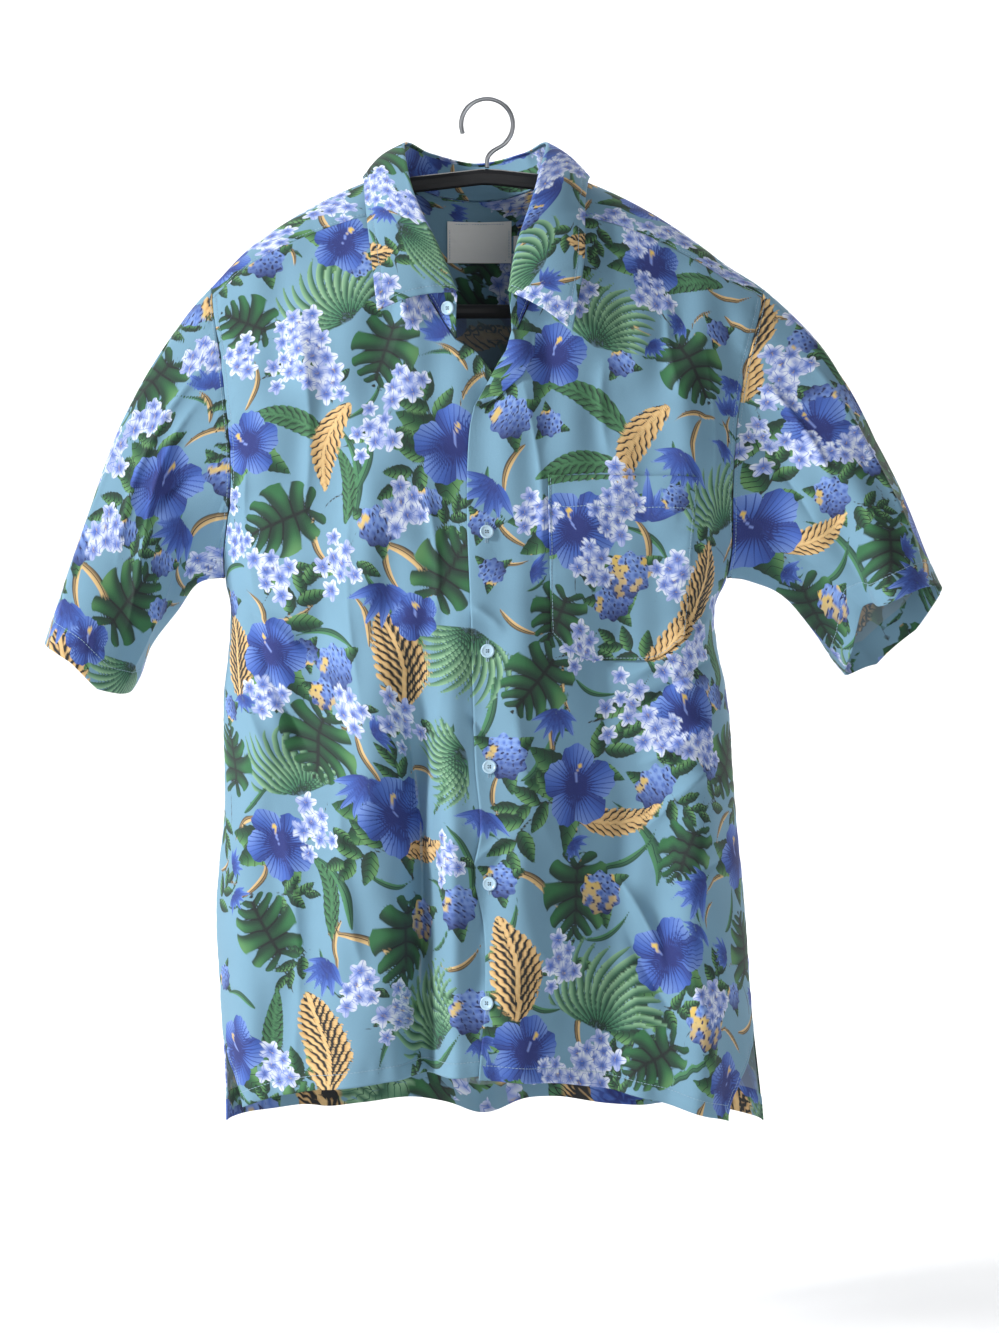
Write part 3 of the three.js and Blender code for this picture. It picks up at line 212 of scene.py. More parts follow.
FRONT_COLUMNS = OPEN_COLUMNS + NECK_COLUMNS + SEAM_COLUMNS
BACK_COLUMNS = 26
YOKE_FRONT_STEPS = (1, 0.62, 0.28, 0)
YOKE_BACK_STEPS = (0.12, 0.3, 0.52, 0.76, 1)
YOKE_ROWS, YOKE_NECK_COLUMNS = 8, 16

# Sleeves
SLEEVE_RIGHT = dict(
    side=-1, crown=(-370, -458), under=(-304, -500), depth=62,
    crown_start=(-0.7, -0.7), crown_end=(-0.32, -0.95), under_start=(-1, 0.1), under_end=(-0.62, -0.78),
)
SLEEVE_LEFT = dict(
    side=1, crown=(385, -419), under=(306, -481), depth=60,
    crown_start=(0.78, -0.62), crown_end=(0.4, -0.92), under_start=(1, 0.05), under_end=(0.7, -0.72),
)
HEM_WAVE_RIGHT = table("turn up", (0, 0), (80, -2), (120, -11), (155, -5), (180, 0), (270, 8), (360, 0))
HEM_WAVE_LEFT = table(
    "turn up", (0, 0), (40, 14), (73, 24), (118, 36), (146, 44), (162, 12),
    (180, 0), (215, -12), (260, -24), (310, -20), (360, 0),
)
SLEEVE_FOLD_NAMES = "top hem start end width lift"
SLEEVE_FOLDS_RIGHT = table(
    SLEEVE_FOLD_NAMES,
    (40, 62, 0.25, 1.4, 24, 5), (110, 104, 0.3, 1.4, 26, -6),
    (250, 255, 0.2, 1.4, 24, -7), (310, 300, 0.2, 1.4, 22, 5),
)
SLEEVE_FOLDS_LEFT = table(
    SLEEVE_FOLD_NAMES,
    (60, 138, 0.28, 1.5, 17, 12), (96, 166, 0.3, 1.5, 14, -8),
    (250, 255, 0.2, 1.4, 24, -7), (310, 300, 0.2, 1.4, 22, 5),
)
# Finer sleeve creases: turn and share of the length at both ends, half width in degrees, height
SLEEVE_CREASE_NAMES = "turn0 t0 turn1 t1 width lift"
SLEEVE_CREASES_RIGHT = table(
    SLEEVE_CREASE_NAMES,
    (60, 0.05, 84, 0.6, 6, 1.8), (80, 0.1, 120, 0.7, 6, 1.8), (120, 0.0, 100, 0.5, 6, -1.6),
    (30, 0.3, 52, 0.95, 6, 1.5), (140, 0.1, 150, 0.9, 7, 1.6), (230, 0.1, 210, 0.8, 7, 1.7),
    (280, 0.1, 262, 0.8, 7, -1.5), (330, 0.2, 322, 0.9, 7, 1.4),
)
SLEEVE_CREASES_LEFT = table(
    SLEEVE_CREASE_NAMES,
    (70, 0.05, 92, 0.5, 6, 1.8), (100, 0.0, 120, 0.5, 6, -1.6),
    (36, 0.2, 50, 0.9, 6, 1.4), (130, 0.0, 150, 0.5, 6, 1.6),
    (230, 0.1, 210, 0.8, 7, 1.7), (280, 0.1, 262, 0.8, 7, -1.5), (330, 0.2, 322, 0.9, 7, 1.4),
)

# Collar by distance round the neck: fold line at the stand's top, and the fall's outer edge
COLLAR = table(
    "at fold_x fold_y fold_z edge_x edge_y edge_z",
    (0, -24, -71, -176, -89, -82, -191),
    (0.11, -41, -67, -138, -95, -64, -142),
    (0.22, -61, -56, -93, -101, -37, -94),
    (0.27, -67, -40, -68, -103, -20, -73),
    (0.32, -70, -12, -42, -104, 3, -65.5),
    (0.41, -49, 40, -38, -75, 55, -82),
    (0.5, -9, 57, -43, -9, 80, -98),
    (0.59, 31, 40, -38, 57, 55, -82),
    (0.68, 51, -12, -42, 86, 3, -65.5),
    (0.73, 46, -40, -68, 85, -20, -73),
    (0.78, 40, -56, -93, 82, -37, -92),
    (0.89, 26, -67, -138, 80, -66, -148),
    (1, 18, -71, -176, 70, -84, -208),
)
FOLD_RADIUS, FOLD_CLEARANCE, FALL_BULGE, STAND_SHARE = 3.2, 2.4, 4.0, 0.97
LAPEL = table(
    "at fold_x fold_z edge_x edge_z",
    (0, 21, -205, 40, -207), (0.35, 16, -223, 39, -226), (0.6, 6.5, -239, 30, -243),
    (0.85, -3.5, -258, 8, -262), (1, -8.5, -268, -4, -271),
)
POCKET = dict(left=49, right=172, top=-325, bottom=-476, corner_left=22, corner_right=18, taper=9)
BUTTON_SPOTS = ((0, -372), (1, -468), (2.5, -562), (3, -656), (1, -751))


# Small maths helpers
def lerp(a, b, t):
    return a + (b - a) * t


def smooth(start, end, value):
    t = np.clip((value - start) / (end - start), 0, 1)
    return t * t * (3 - 2 * t)


def unit(v):
    return v / np.maximum(np.linalg.norm(v, axis=-1, keepdims=True), 1e-9)


def lengths_along(points, axis):
    """Length along the lines of a grid, from its first row or column."""
    steps = np.linalg.norm(np.diff(points, axis=axis), axis=-1)
    start = np.zeros_like(np.take(steps, [0], axis))
    return np.concatenate([start, np.cumsum(steps, axis)], axis)


def column(rows, key, name, at):
    """Smooth value of one column at a key, with the slopes of the neighbouring rows."""
    keys, values, at = rows[key], rows[name], np.asarray(at, float)
    if keys[1] < keys[0]:
        keys, at = -keys, -at
    slopes = np.diff(values) / np.diff(keys)
    last = len(keys) - 2
    i = np.clip(np.searchsorted(keys, at, side="left") - 1, 0, last)
    span = keys[i + 1] - keys[i]
    t = np.clip((at - keys[i]) / span, 0, 1)
    here = slopes[i]
    before = np.where(i > 0, (slopes[np.maximum(i - 1, 0)] + here) / 2, here)
    after = np.where(i < last, (slopes[np.minimum(i + 1, last)] + here) / 2, here)
    t2, t3 = t * t, t * t * t
    return (
        (2 * t3 - 3 * t2 + 1) * values[i] + (t3 - 2 * t2 + t) * span * before
        + (3 * t2 - 2 * t3) * values[i + 1] + (t3 - t2) * span * after
    )


def straight(rows, key, name, at):
    return np.interp(at, rows[key], rows[name])


def noise(x, y, size, seed):
    """Soft wandering value from -1 to 1 with humps about size apart, from a few crossed waves."""
    rng = np.random.default_rng(seed)
    total = np.zeros(np.broadcast(x, y).shape)
    for _ in range(7):
        turn, phase, stretch = rng.uniform(0, 2 * math.pi), rng.uniform(0, 2 * math.pi), rng.uniform(0.7, 1.5)
        total += np.sin((x * math.cos(turn) + y * math.sin(turn)) * 2 * math.pi / (size * stretch) + phase)
    return total / 3.2


# Body surface
def ridge(x):
    middle = NECK_X * (1 - smooth(195, 240, np.abs(x)))
    out = np.abs(x - middle) - RIDGE_AT
    return RIDGE_Z - RIDGE_SLOPE * out - RIDGE_DROOP * out * out


def section(z):
    opening = np.maximum(0, column(SECTIONS, "z", "open", z))
    half = column(SECTIONS, "z", "half", z)
    return dict(
        mid=column(SECTIONS, "z", "mid", z), half=half,
        wide=half / np.sqrt(1 - np.where(z > ARMPIT_Z, opening, 0)),
        front=column(SECTIONS, "z", "front", z), back=column(SECTIONS, "z", "back", z),
    )


def fold_lift(folds, x, z):
    lift = 0.0
    for x_top, x_low, z_top, z_low, width, height in zip(*folds.values()):
        down = np.clip((z_top - z) / (z_top - z_low), 0, 1)
        across = (x - lerp(x_top, x_low, down)) / width
        lift = lift + height * smooth(0, 0.35, down) * (1 - smooth(0.75, 1, down)) * np.exp(-across * across)
    return lift


def crease_lift(creases, x, z):
    """Narrow creases that taper out at both ends; their lines wander a little."""
    lift = 0.0
    for k, (x0, z0, x1, z1, width, height, sharp) in enumerate(zip(*creases.values())):
        length = math.hypot(x1 - x0, z1 - z0)
        along = ((x - x0) * (x1 - x0) + (z - z0) * (z1 - z0)) / length**2
        off = ((x - x0) * (z1 - z0) - (z - z0) * (x1 - x0)) / length
        off = off + 0.05 * length * np.sin(along * math.pi) * (1 if k % 2 else -1)
        a = np.abs(off) / width
        shape = lerp(np.exp(-a * a), np.exp(-a * 1.6), sharp)
        taper = smooth(-0.12, 0.3, along) * (1 - smooth(0.7, 1.12, along))
        lift = lift + height * shape * taper
    return lift


def body_y(side, x, z):
    """Distance of the cloth's middle from the hanger's plane, on the front (-1) or the back (+1)."""
    s = section(z)
    across = np.clip((x - s["mid"]) / s["wide"], -1, 1)
    rounding = np.sqrt(np.maximum(0, 1 - across * across))
    drop = np.maximum(0, ridge(x) - z)
    near_neck = 1 - smooth(0, DOME_REACH, np.abs(x - NECK_X))
    dome = DOME_FRONT if side < 0 else lerp(DOME_BACK, DOME_NECK, near_neck * smooth(0, 12, drop))
    t = np.minimum(1, drop / dome)
    depth = s["front" if side < 0 else "back"] * np.sqrt(2 * t - t * t)
    lift = fold_lift(FRONT_FOLDS if side < 0 else BACK_FOLDS, x, z) * np.minimum(1, rounding * 1.6)
    fine = CREASE_DEPTH * crease_lift(FRONT_CREASES if side < 0 else BACK_CREASES, x, z)
    fine = fine + fold_lift(SOFT_FRONT if side < 0 else SOFT_BACK, x, z)
    fine = fine + 3.0 * noise(x * 1.7, z * 0.6, 90, 5) + 1.2 * noise(x * 1.4, z * 0.8, 42, 6)
    fine = fine * np.minimum(1, rounding * 2.2) * smooth(6, 50, drop)
    if side > 0:
        fine = fine * smooth(48, 105, np.hypot(x - LABEL_AT[0], z - LABEL_AT[1]))
    return side * (depth * rounding + lift + fine)


def body_point(side, x, z):
    return np.stack(np.broadcast_arrays(x, body_y(side, x, z), z), -1)


def angle_at(x, z):
    s = section(z)
    return np.arcsin(np.clip((x - s["mid"]) / s["wide"], -1, 1))


def round_point(side, angle, z):
    s = section(z)
    return body_point(side, s["mid"] + s["wide"] * np.sin(angle), z)


def patch(u, v, top, bottom, inner, outer):
    """Fills in between four edge curves of (angle, height) pairs that meet at their corners."""
    u, v = u[None, :, None], v[:, None, None]
    top, bottom = top[None], bottom[None]
    inner, outer = inner[:, None], outer[:, None]
    return (
        (1 - v) * top + v * bottom + (1 - u) * inner + u * outer
        - (1 - u) * (1 - v) * top[:, :1] - u * (1 - v) * top[:, -1:]
        - (1 - u) * v * bottom[:, :1] - u * v * bottom[:, -1:]
    )


def yoke_front_drop(x):
    out = np.clip((np.abs(x - NECK_X) - SEAM_START) / (SHOULDER_END - SEAM_START), 0, 1)
    return lerp(YOKE_DROP_NECK, YOKE_DROP_ARM, out)


def back_seam_z(x):
    return YOKE_BACK_Z - YOKE_BACK_DIP * (np.abs(x) / SHOULDER_END) ** 1.5


def edge_x(side, z):
    s = section(z)
    return s["mid"] + side * s["half"]


def seam_end(side):
    return edge_x(side, ridge(side * SHOULDER_END) - YOKE_DROP_ARM)


def side_rows(row, top, hem):
    """Heights down one side, armhole then side seam."""
    upper = lerp(top, ARMPIT_Z, 1 - np.maximum(0, 1 - row / ARMPIT_ROW) ** 1.15)
    return np.where(row <= ARMPIT_ROW, upper, lerp(ARMPIT_Z, hem, (row - ARMPIT_ROW) / (ROWS - ARMPIT_ROW)))


def front_panel(side, neck, opening, edge, hem, columns, rows):
    u, v = np.linspace(0, 1, columns + 1), np.linspace(0, 1, rows + 1)
    k = u * FRONT_COLUMNS
    t = np.clip((k - OPEN_COLUMNS) / NECK_COLUMNS, 0, 1)
    seam_z = ridge(neck["seam_x"]) - YOKE_DROP_NECK - SEAM_GAP / 2
    neck_x = (1 - t) ** 2 * neck["end_x"] + 2 * t * (1 - t) * neck["pull_x"] + t * t * neck["seam_x"]
    neck_z = (1 - t) ** 2 * neck["end_z"] + 2 * t * (1 - t) * neck["pull_z"] + t * t * seam_z
    in_seam = np.clip((k - OPEN_COLUMNS - NECK_COLUMNS) / SEAM_COLUMNS, 0, 1)
    seam_x = lerp(neck["seam_x"], seam_end(side), in_seam)
    in_open, in_neck = k < OPEN_COLUMNS, k < OPEN_COLUMNS + NECK_COLUMNS
    x = np.where(in_open, straight(opening, "at", "x", k / OPEN_COLUMNS), np.where(in_neck, neck_x, seam_x))
    seam_line = ridge(seam_x) - yoke_front_drop(seam_x) - SEAM_GAP / 2
    open_z = straight(opening, "at", "z", k / OPEN_COLUMNS)
    z = np.where(in_open, open_z, np.where(in_neck, neck_z, seam_line))
    top = np.stack([angle_at(x, z), z], -1)
    inner_z = lerp(opening["z"][0], hem["closing"], v)
    inner = np.stack([angle_at(column(edge, "z", "x", inner_z), inner_z), inner_z], -1)
    row = v * ROWS
    outer_z = side_rows(row, top[-1, 1], hem["side"])
    seam = SEAM_GAP / 2 / section(outer_z)["front"] / DEG
    vent = hem["open"] * smooth(VENT_Z + 12, hem["side"], outer_z)
    arm_angle, side_angle = angle_at(edge_x(side, outer_z), outer_z), side * (90 - seam - vent) * DEG
    outer_angle = np.where(row < ARMPIT_ROW, arm_angle, side_angle)
    outer = np.stack([outer_angle, outer_z], -1)
    bottom_z = (1 - u) ** 2 * hem["closing"] + 2 * u * (1 - u) * hem["middle"] + u * u * hem["side"]
    bottom = np.stack([lerp(inner[-1, 0], outer[-1, 0], u), bottom_z], -1)
    flat = patch(u, v, top, bottom, inner, outer)
    return round_point(-1, flat[..., 0], flat[..., 1]), flat


def tuck_under(grid):
    """The right front passes under the left one."""
    cover = column(EDGE_LEFT, "z", "x", np.minimum(EDGE_LEFT["z"][0], grid[..., 2]))
    moved = grid.copy()
    moved[..., 1] += TUCK_STEP * smooth(cover - TUCK_REACH, cover - 4, grid[..., 0])
    return moved


def yoke_point(x, step):
    z = ridge(x) - step * step
    y = np.where(step < 0, body_y(-1, x, z), body_y(1, x, z))
    return np.stack([x, y, z], -1)


def yoke_panel(columns, rows):
    """Points of the yoke by column and row, with the place across and the step over the shoulder."""
    cad_columns = 2 * SEAM_COLUMNS + YOKE_NECK_COLUMNS

    def trim(drop):
        return np.sqrt(drop - SEAM_GAP / 2)

    k = np.linspace(0, cad_columns, columns + 1)
    past_neck = (k - SEAM_COLUMNS - YOKE_NECK_COLUMNS) / SEAM_COLUMNS
    left = lerp(seam_end(-1), NECK_RIGHT["seam_x"], np.clip(k / SEAM_COLUMNS, 0, 1))
    right = lerp(NECK_LEFT["seam_x"], seam_end(1), np.clip(past_neck, 0, 1))
    turn = lerp(-NECK_PAST, 1 + NECK_PAST, np.clip((k - SEAM_COLUMNS) / YOKE_NECK_COLUMNS, 0, 1)) * math.pi
    front = np.sin(turn) < 0
    reach = np.where(front, NECK_HALF - 5 * np.sin(turn) ** 2, NECK_HALF)
    neck_x = NECK_X - np.where(front, np.sign(np.cos(turn)) * reach, np.cos(turn) * reach)
    front_step = trim(YOKE_DROP_NECK) / math.sin(NECK_PAST * math.pi)
    neck_step = np.sin(turn) * np.where(front, front_step, math.sqrt(NECK_BACK_DROP))
    in_left, in_right = k <= SEAM_COLUMNS, k >= cad_columns - SEAM_COLUMNS
    x = np.where(in_left, left, np.where(in_right, right, neck_x))
    step = np.where(in_left | in_right, -trim(yoke_front_drop(x)), neck_step)
    end_z = ridge(SHOULDER_END) - YOKE_BACK_DIP
    end_x = lerp(edge_x(-1, end_z), edge_x(1, end_z), k / cad_columns)
    end_step = np.sqrt(ridge(end_x) - back_seam_z(end_x) - SEAM_GAP / 2)
    corner = int(np.argmin(np.abs(k - SEAM_COLUMNS)))
    knots = np.arange(YOKE_ROWS + 1)

    def shares(i):
        steps = [s * step[i] for s in YOKE_FRONT_STEPS] + [s * end_step[i] for s in YOKE_BACK_STEPS]
        return (np.array(steps) - step[i]) / (end_step[i] - step[i])

    r = np.linspace(0, YOKE_ROWS, rows + 1)
    share = np.empty((rows + 1, columns + 1))
    for i in range(columns + 1):
        in_neck = SEAM_COLUMNS < k[i] < cad_columns - SEAM_COLUMNS
        share[:, i] = np.interp(r, knots, shares(corner if in_neck else i))
    line_x = lerp(x[None], end_x[None], share)
    line_step = lerp(step[None], end_step[None], share)
    for side, first in ((-1, 0), (1, -1)):
        away = edge_x(side, ridge(side * SHOULDER_END) - line_step[:, first] ** 2) - line_x[:, first]
        near = np.clip(1 - (k if side < 0 else cad_columns - k) / 6, 0, 1)
        line_x = line_x + away[:, None] * near[None]
    return yoke_point(line_x, line_step), np.stack([line_x, line_step], -1)


def back_panel(columns, rows):
    u, v = np.linspace(0, 1, columns + 1), np.linspace(0, 1, rows + 1)
    end_z = ridge(SHOULDER_END) - YOKE_BACK_DIP
    x = lerp(edge_x(-1, end_z), edge_x(1, end_z), u)
    z = back_seam_z(x) - SEAM_GAP / 2
    top = np.stack([angle_at(x, z), z], -1)
    row = v * ROWS

    def side_line(side, start):
        line_z = side_rows(row, start[1], BACK_HEM_Z)
        seam = SEAM_GAP / 2 / section(line_z)["back"] / DEG
        angle = np.where(row < ARMPIT_ROW, angle_at(edge_x(side, line_z), line_z), side * (90 - seam) * DEG)
        return np.stack([angle, line_z], -1)

    inner, outer = side_line(-1, top[0]), side_line(1, top[-1])
    bottom = np.stack([lerp(inner[-1, 0], outer[-1, 0], u), np.full(columns + 1, BACK_HEM_Z)], -1)
    flat = patch(u, v, top, bottom, inner, outer)
    return round_point(1, flat[..., 0], flat[..., 1]), flat


def grid_normals(grid, closed=False):
    if closed:
        across = np.roll(grid, -1, 1) - np.roll(grid, 1, 1)
    else:
        across = np.gradient(grid, axis=1)
    down = np.gradient(grid, axis=0)
    return unit(np.cross(across, down))


def through(points, count, closed):
    """Smooth line of count points (per span when closed) through the given points."""
    n = len(points)
    at = np.arange(n * count) / count if closed else np.linspace(0, n - 1, count)
    i = np.minimum(at.astype(int), n - 1 if closed else n - 2)
    t = (at - i)[:, None]

    def pick(j):
        return points[j % n] if closed else points[np.clip(j, 0, n - 1)]

    p0, p1, p2, p3 = pick(i - 1), pick(i), pick(i + 1), pick(i + 2)
    return p1 + 0.5 * t * (p2 - p0 + t * (2 * p0 - 5 * p1 + 4 * p2 - p3 + t * (3 * (p1 - p2) + p3 - p0)))


def join(a, b):
    """One place halfway between two (point, way) pairs."""
    return np.stack([(a[0] + b[0]) / 2, unit(a[1] + b[1])])[None]


# Sleeves
def armhole(side, front, yoke, back):
    """Points of the sleeve's seam from the crown round the front, just outside the panels' rims."""
    def edge(grid, last):
        points, before = (grid[:, -1], grid[:, -2]) if last else (grid[:, 0], grid[:, 1])
        return np.stack([points, unit(points - before)], 1)

    fe = edge(front, True)[:ARMPIT_ROW + 1]
    ye = edge(yoke, side > 0)
    be = edge(back, side > 0)[:ARMPIT_ROW + 1]
    ring = np.concatenate([
        join(ye[0], fe[0]), fe[1:ARMPIT_ROW], join(fe[-1], be[-1]), be[1:ARMPIT_ROW][::-1],
        join(be[0], ye[-1]), ye[1:-1][::-1],
    ])
    point, out = ring[:, 0], ring[:, 1]
    low = smooth(-260, ARMPIT_Z, point[:, 2])[:, None]
    way = out * (1 - low)
    way[:, 0] += side * (0.2 + low[:, 0])
    return point + unit(way) * (SEAM_GAP + WALL * lerp(0.6, 1.1, low) - 0.5)


def turns_of(ring):
    middle = ring.mean(0)
    high, deep = (ring[:, 2] - middle[2]).max(), np.abs(ring[:, 1] - middle[1]).max()
    turn = np.arctan2(-(ring[:, 1] - middle[1]) / deep, (ring[:, 2] - middle[2]) / high) / DEG
    return np.unwrap((turn + 360) % 360, period=360)


def around(turns, place):
    """Signed distance round the sleeve, in degrees."""
    return (turns - place + 180) % 360 - 180


def sleeve_panel(sleeve, coarse, wave, folds, creases, per_span, rows):
    ring, knots, n = through(coarse, per_span, True), turns_of(coarse), len(coarse)
    steps = np.arange(n * per_span) / per_span
    turns = np.interp(steps, np.arange(n + 1), np.append(knots, knots[0] + 360)) % 360
    a = turns * DEG
    low = ((1 - np.cos(a)) / 2)[:, None]

    def flat(pair):
        return unit(np.array([pair[0], 0.0, pair[1]]))

    def blend(p, q):
        return unit(flat(p) * (1 - low) + flat(q) * low)

    crown, under = (np.array([p[0], 0.0, p[1]]) for p in (sleeve["crown"], sleeve["under"]))
    hem = crown * (1 - low) + under * low
    hem[:, 1] = -sleeve["depth"] * np.sin(a)
    hem[:, 2] += straight(wave, "turn", "up", turns)
    reach = np.linalg.norm(hem - ring, axis=1, keepdims=True) / 3
    first = ring + blend(sleeve["crown_start"], sleeve["under_start"]) * reach
    second = hem - blend(sleeve["crown_end"], sleeve["under_end"]) * reach
    second[:, 1] = lerp(hem[:, 1], second[:, 1], 0.5)
    t = np.linspace(0, 1, rows + 1)[:, None, None]
    grid = (1 - t) ** 3 * ring + 3 * (1 - t) ** 2 * t * first + 3 * (1 - t) * t * t * second + t**3 * hem
    t = t[..., 0]
    lift = np.zeros(grid.shape[:2])
    for top, at_hem, start, end, width, height in zip(*folds.values()):
        along = np.clip((t - start) / (end - start), 0, 1)
        across = (turns[None] - lerp(top, at_hem, along)) / width
        lift += height * smooth(0, 0.5, along) * np.exp(-across * across)
    for turn0, t0, turn1, t1, width, height in zip(*creases.values()):
        along = (t - t0) / (t1 - t0)
        across = np.abs(around(turns[None], lerp(turn0, turn1, along))) / width
        taper = smooth(-0.15, 0.25, along) * (1 - smooth(0.75, 1.15, along))
        lift += CREASE_DEPTH * height * np.exp(-across * 1.3) * taper
    wander = noise(turns[None] * 1.2 + 0 * t, 200 * t + 0 * turns[None], 90, 7 if sleeve["side"] < 0 else 8)
    lift += 2.2 * wander * smooth(0.05, 0.3, t)
    return grid + grid_normals(grid, True) * (sleeve["side"] * lift)[..., None]


# Collar
def neckline(front_right, yoke, front_left):
    """Neckline points and the way into the neck, from the right front round the back."""
    middle = np.array([NECK_X, 0.0, RIDGE_Z])

    def take(grid, start, end, backwards=False):
        line, normal = grid[0, start:end + 1], grid_normals(grid)[0, start:end + 1]
        into = unit(np.cross(np.gradient(line, axis=0), normal))
        into = into * np.where((into * (middle - line)).sum(-1, keepdims=True) < 0, -1, 1)
        both = np.stack([line, into], 1)
        return both[::-1] if backwards else both

    start, end = OPEN_COLUMNS, OPEN_COLUMNS + NECK_COLUMNS
    right, left = take(front_right, start, end), take(front_left, start, end, True)
    back = take(yoke, SEAM_COLUMNS, SEAM_COLUMNS + YOKE_NECK_COLUMNS)
    return np.concatenate([
        right[:-1], join(right[-1], back[0]), back[1:-1], join(back[-1], left[0]), left[1:],
    ])


def collar_stations(neck, count):
    """Base, fold and edge lines of the collar, with its ways up and out, count places round the neck."""
    points, into = through(neck[:, 0], count, False), unit(through(neck[:, 1], count, False))
    run = lengths_along(points, 0)
    at = run / run[-1]

    def read(name):
        return np.stack([column(COLLAR, "at", f"{name}_{axis}", at) for axis in "xyz"], -1)

    base, fold, edge = points + into * (SEAM_GAP + 0.9), read("fold"), read("edge")
    along = unit(np.gradient(fold, axis=0))
    up = unit(fold - base)
    out = unit(np.cross(along, up))
    out = out * np.where((out * (edge - fold)).sum(-1, keepdims=True) < 0, -1, 1)
    return dict(base=base, fold=fold, edge=edge, up=up, out=out, at=at)


def stand_panel(c, rows):
    t = np.linspace(0, 1, rows + 1)[:, None, None]
    return lerp(c["base"], c["fold"], t * STAND_SHARE) + c["out"] * 1.5 * np.sin(math.pi * t)


def fall_panel(c, fold_rows, rows):
    centre = c["fold"] + c["up"] * (FOLD_CLEARANCE - FOLD_RADIUS)
    away = c["edge"] - centre
    rise, reach = (away * c["up"]).sum(-1), (away * c["out"]).sum(-1)
    end = np.clip(np.arctan2(-rise, reach) * 0.8 + 0.25, 0.6, 1.9)

    def bend(turn):
        high, wide = np.cos(turn)[..., None], np.sin(turn)[..., None]
        return centre + FOLD_RADIUS * (c["up"] * high + c["out"] * wide)

    rolled = bend(end[None] * np.linspace(0, 1, fold_rows + 1)[:, None])
    t = np.linspace(0, 1, rows + 1)[1:, None, None]
    lift = unit(c["out"] * -rise[:, None] + c["up"] * reach[:, None])
    at = c["at"][None, :, None]
    bulge = FALL_BULGE * np.sin(math.pi * t) + 0.5 * np.sin(at * 41 + 3 * t) * t * (1 - t) * 4
    return np.concatenate([rolled, lerp(rolled[-1:], c["edge"], t) + lift * bulge])


# Pieces that lie on a panel
def surface_at(x, z, side=-1):
    """Point and outward normal of the front's or back's middle surface at places seen from the front."""
    e = 1.5
    y = body_y(side, x, z)
    slope_x = (body_y(side, x + e, z) - body_y(side, x - e, z)) / (2 * e)
    slope_z = (body_y(side, x, z + e) - body_y(side, x, z - e)) / (2 * e)
    normal = unit(np.stack(np.broadcast_arrays(slope_x, -np.ones_like(slope_x), slope_z), -1)) * -side
    return np.stack(np.broadcast_arrays(x, y, z), -1), normal


def lapel_panel(columns, rows):
    at, u = np.linspace(0, 1, rows + 1)[:, None], np.linspace(0, 1, columns + 1)[None]
    x = lerp(straight(LAPEL, "at", "fold_x", at), straight(LAPEL, "at", "edge_x", at), u)
    z = lerp(straight(LAPEL, "at", "fold_z", at), straight(LAPEL, "at", "edge_z", at), u)
    base, _ = surface_at(x + 0.8, z - 0.5)
    raised = 2.5 + 2.2 * np.sin(math.pi * np.minimum(1, 0.15 + u))
    return np.stack([x, base[..., 1] - raised, z], -1)


def pocket_panel(columns, rows):
    u, v = np.linspace(0, 1, columns + 1)[None], np.linspace(0, 1, rows + 1)[:, None]
    x = lerp(POCKET["left"] + 3 * v, POCKET["right"] - POCKET["taper"] * v, u)
    corner = (
        POCKET["corner_left"] * np.clip(1 - u / 0.3, 0, 1) ** 1.5
        + POCKET["corner_right"] * np.clip((u - 0.75) / 0.25, 0, 1) ** 1.5
    )
    z = lerp(POCKET["top"], POCKET["bottom"] + corner, v)
    point, normal = surface_at(x, z)
    return point + normal * (2.6 + 0.5 * np.sin(math.pi * u) * smooth(0.5, 0, v))[..., None]


# Flat places on the cloth
ANGLES = np.linspace(-90, 90, 181) * DEG
HEIGHTS = np.arange(-40, -912, -6.0)
FLAT_ZERO_Z = -480.0


def flat_tables(side):
    """Lengths along the cloth, across and down, by angle round the body and height."""
    points = round_point(side, ANGLES[None], HEIGHTS[:, None])
    across, down = lengths_along(points, 1), lengths_along(points, 0)
    zero = np.array([np.interp(0, p[:, 0], a) for p, a in zip(points, across)])
    at_zero = np.array([np.interp(-FLAT_ZERO_Z, -HEIGHTS, d) for d in down.T])
    return across - zero[:, None], FLAT_ZERO_Z - (down - at_zero[None])


def flat_place(tables, angle, z):
    a = np.clip(angle / DEG + 90, 0, 179.999)
    b = np.clip((HEIGHTS[0] - z) / 6.0, 0, len(HEIGHTS) - 1.001)
    i, j = a.astype(int), b.astype(int)
    fa, fb = a - i, b - j
    return [
        lerp(lerp(t[j, i], t[j, i + 1], fa), lerp(t[j + 1, i], t[j + 1, i + 1], fa), fb)
        for t in tables
    ]


def flat_lengths(grid, column_zero=None, row_zero=0):
    """Lengths along the rows and columns of a grid, from one column and one row."""
    across, down = lengths_along(grid, 1), lengths_along(grid, 0)
    column_zero = grid.shape[1] // 2 if column_zero is None else column_zero
    return across - across[:, column_zero:column_zero + 1], -(down - down[row_zero:row_zero + 1])


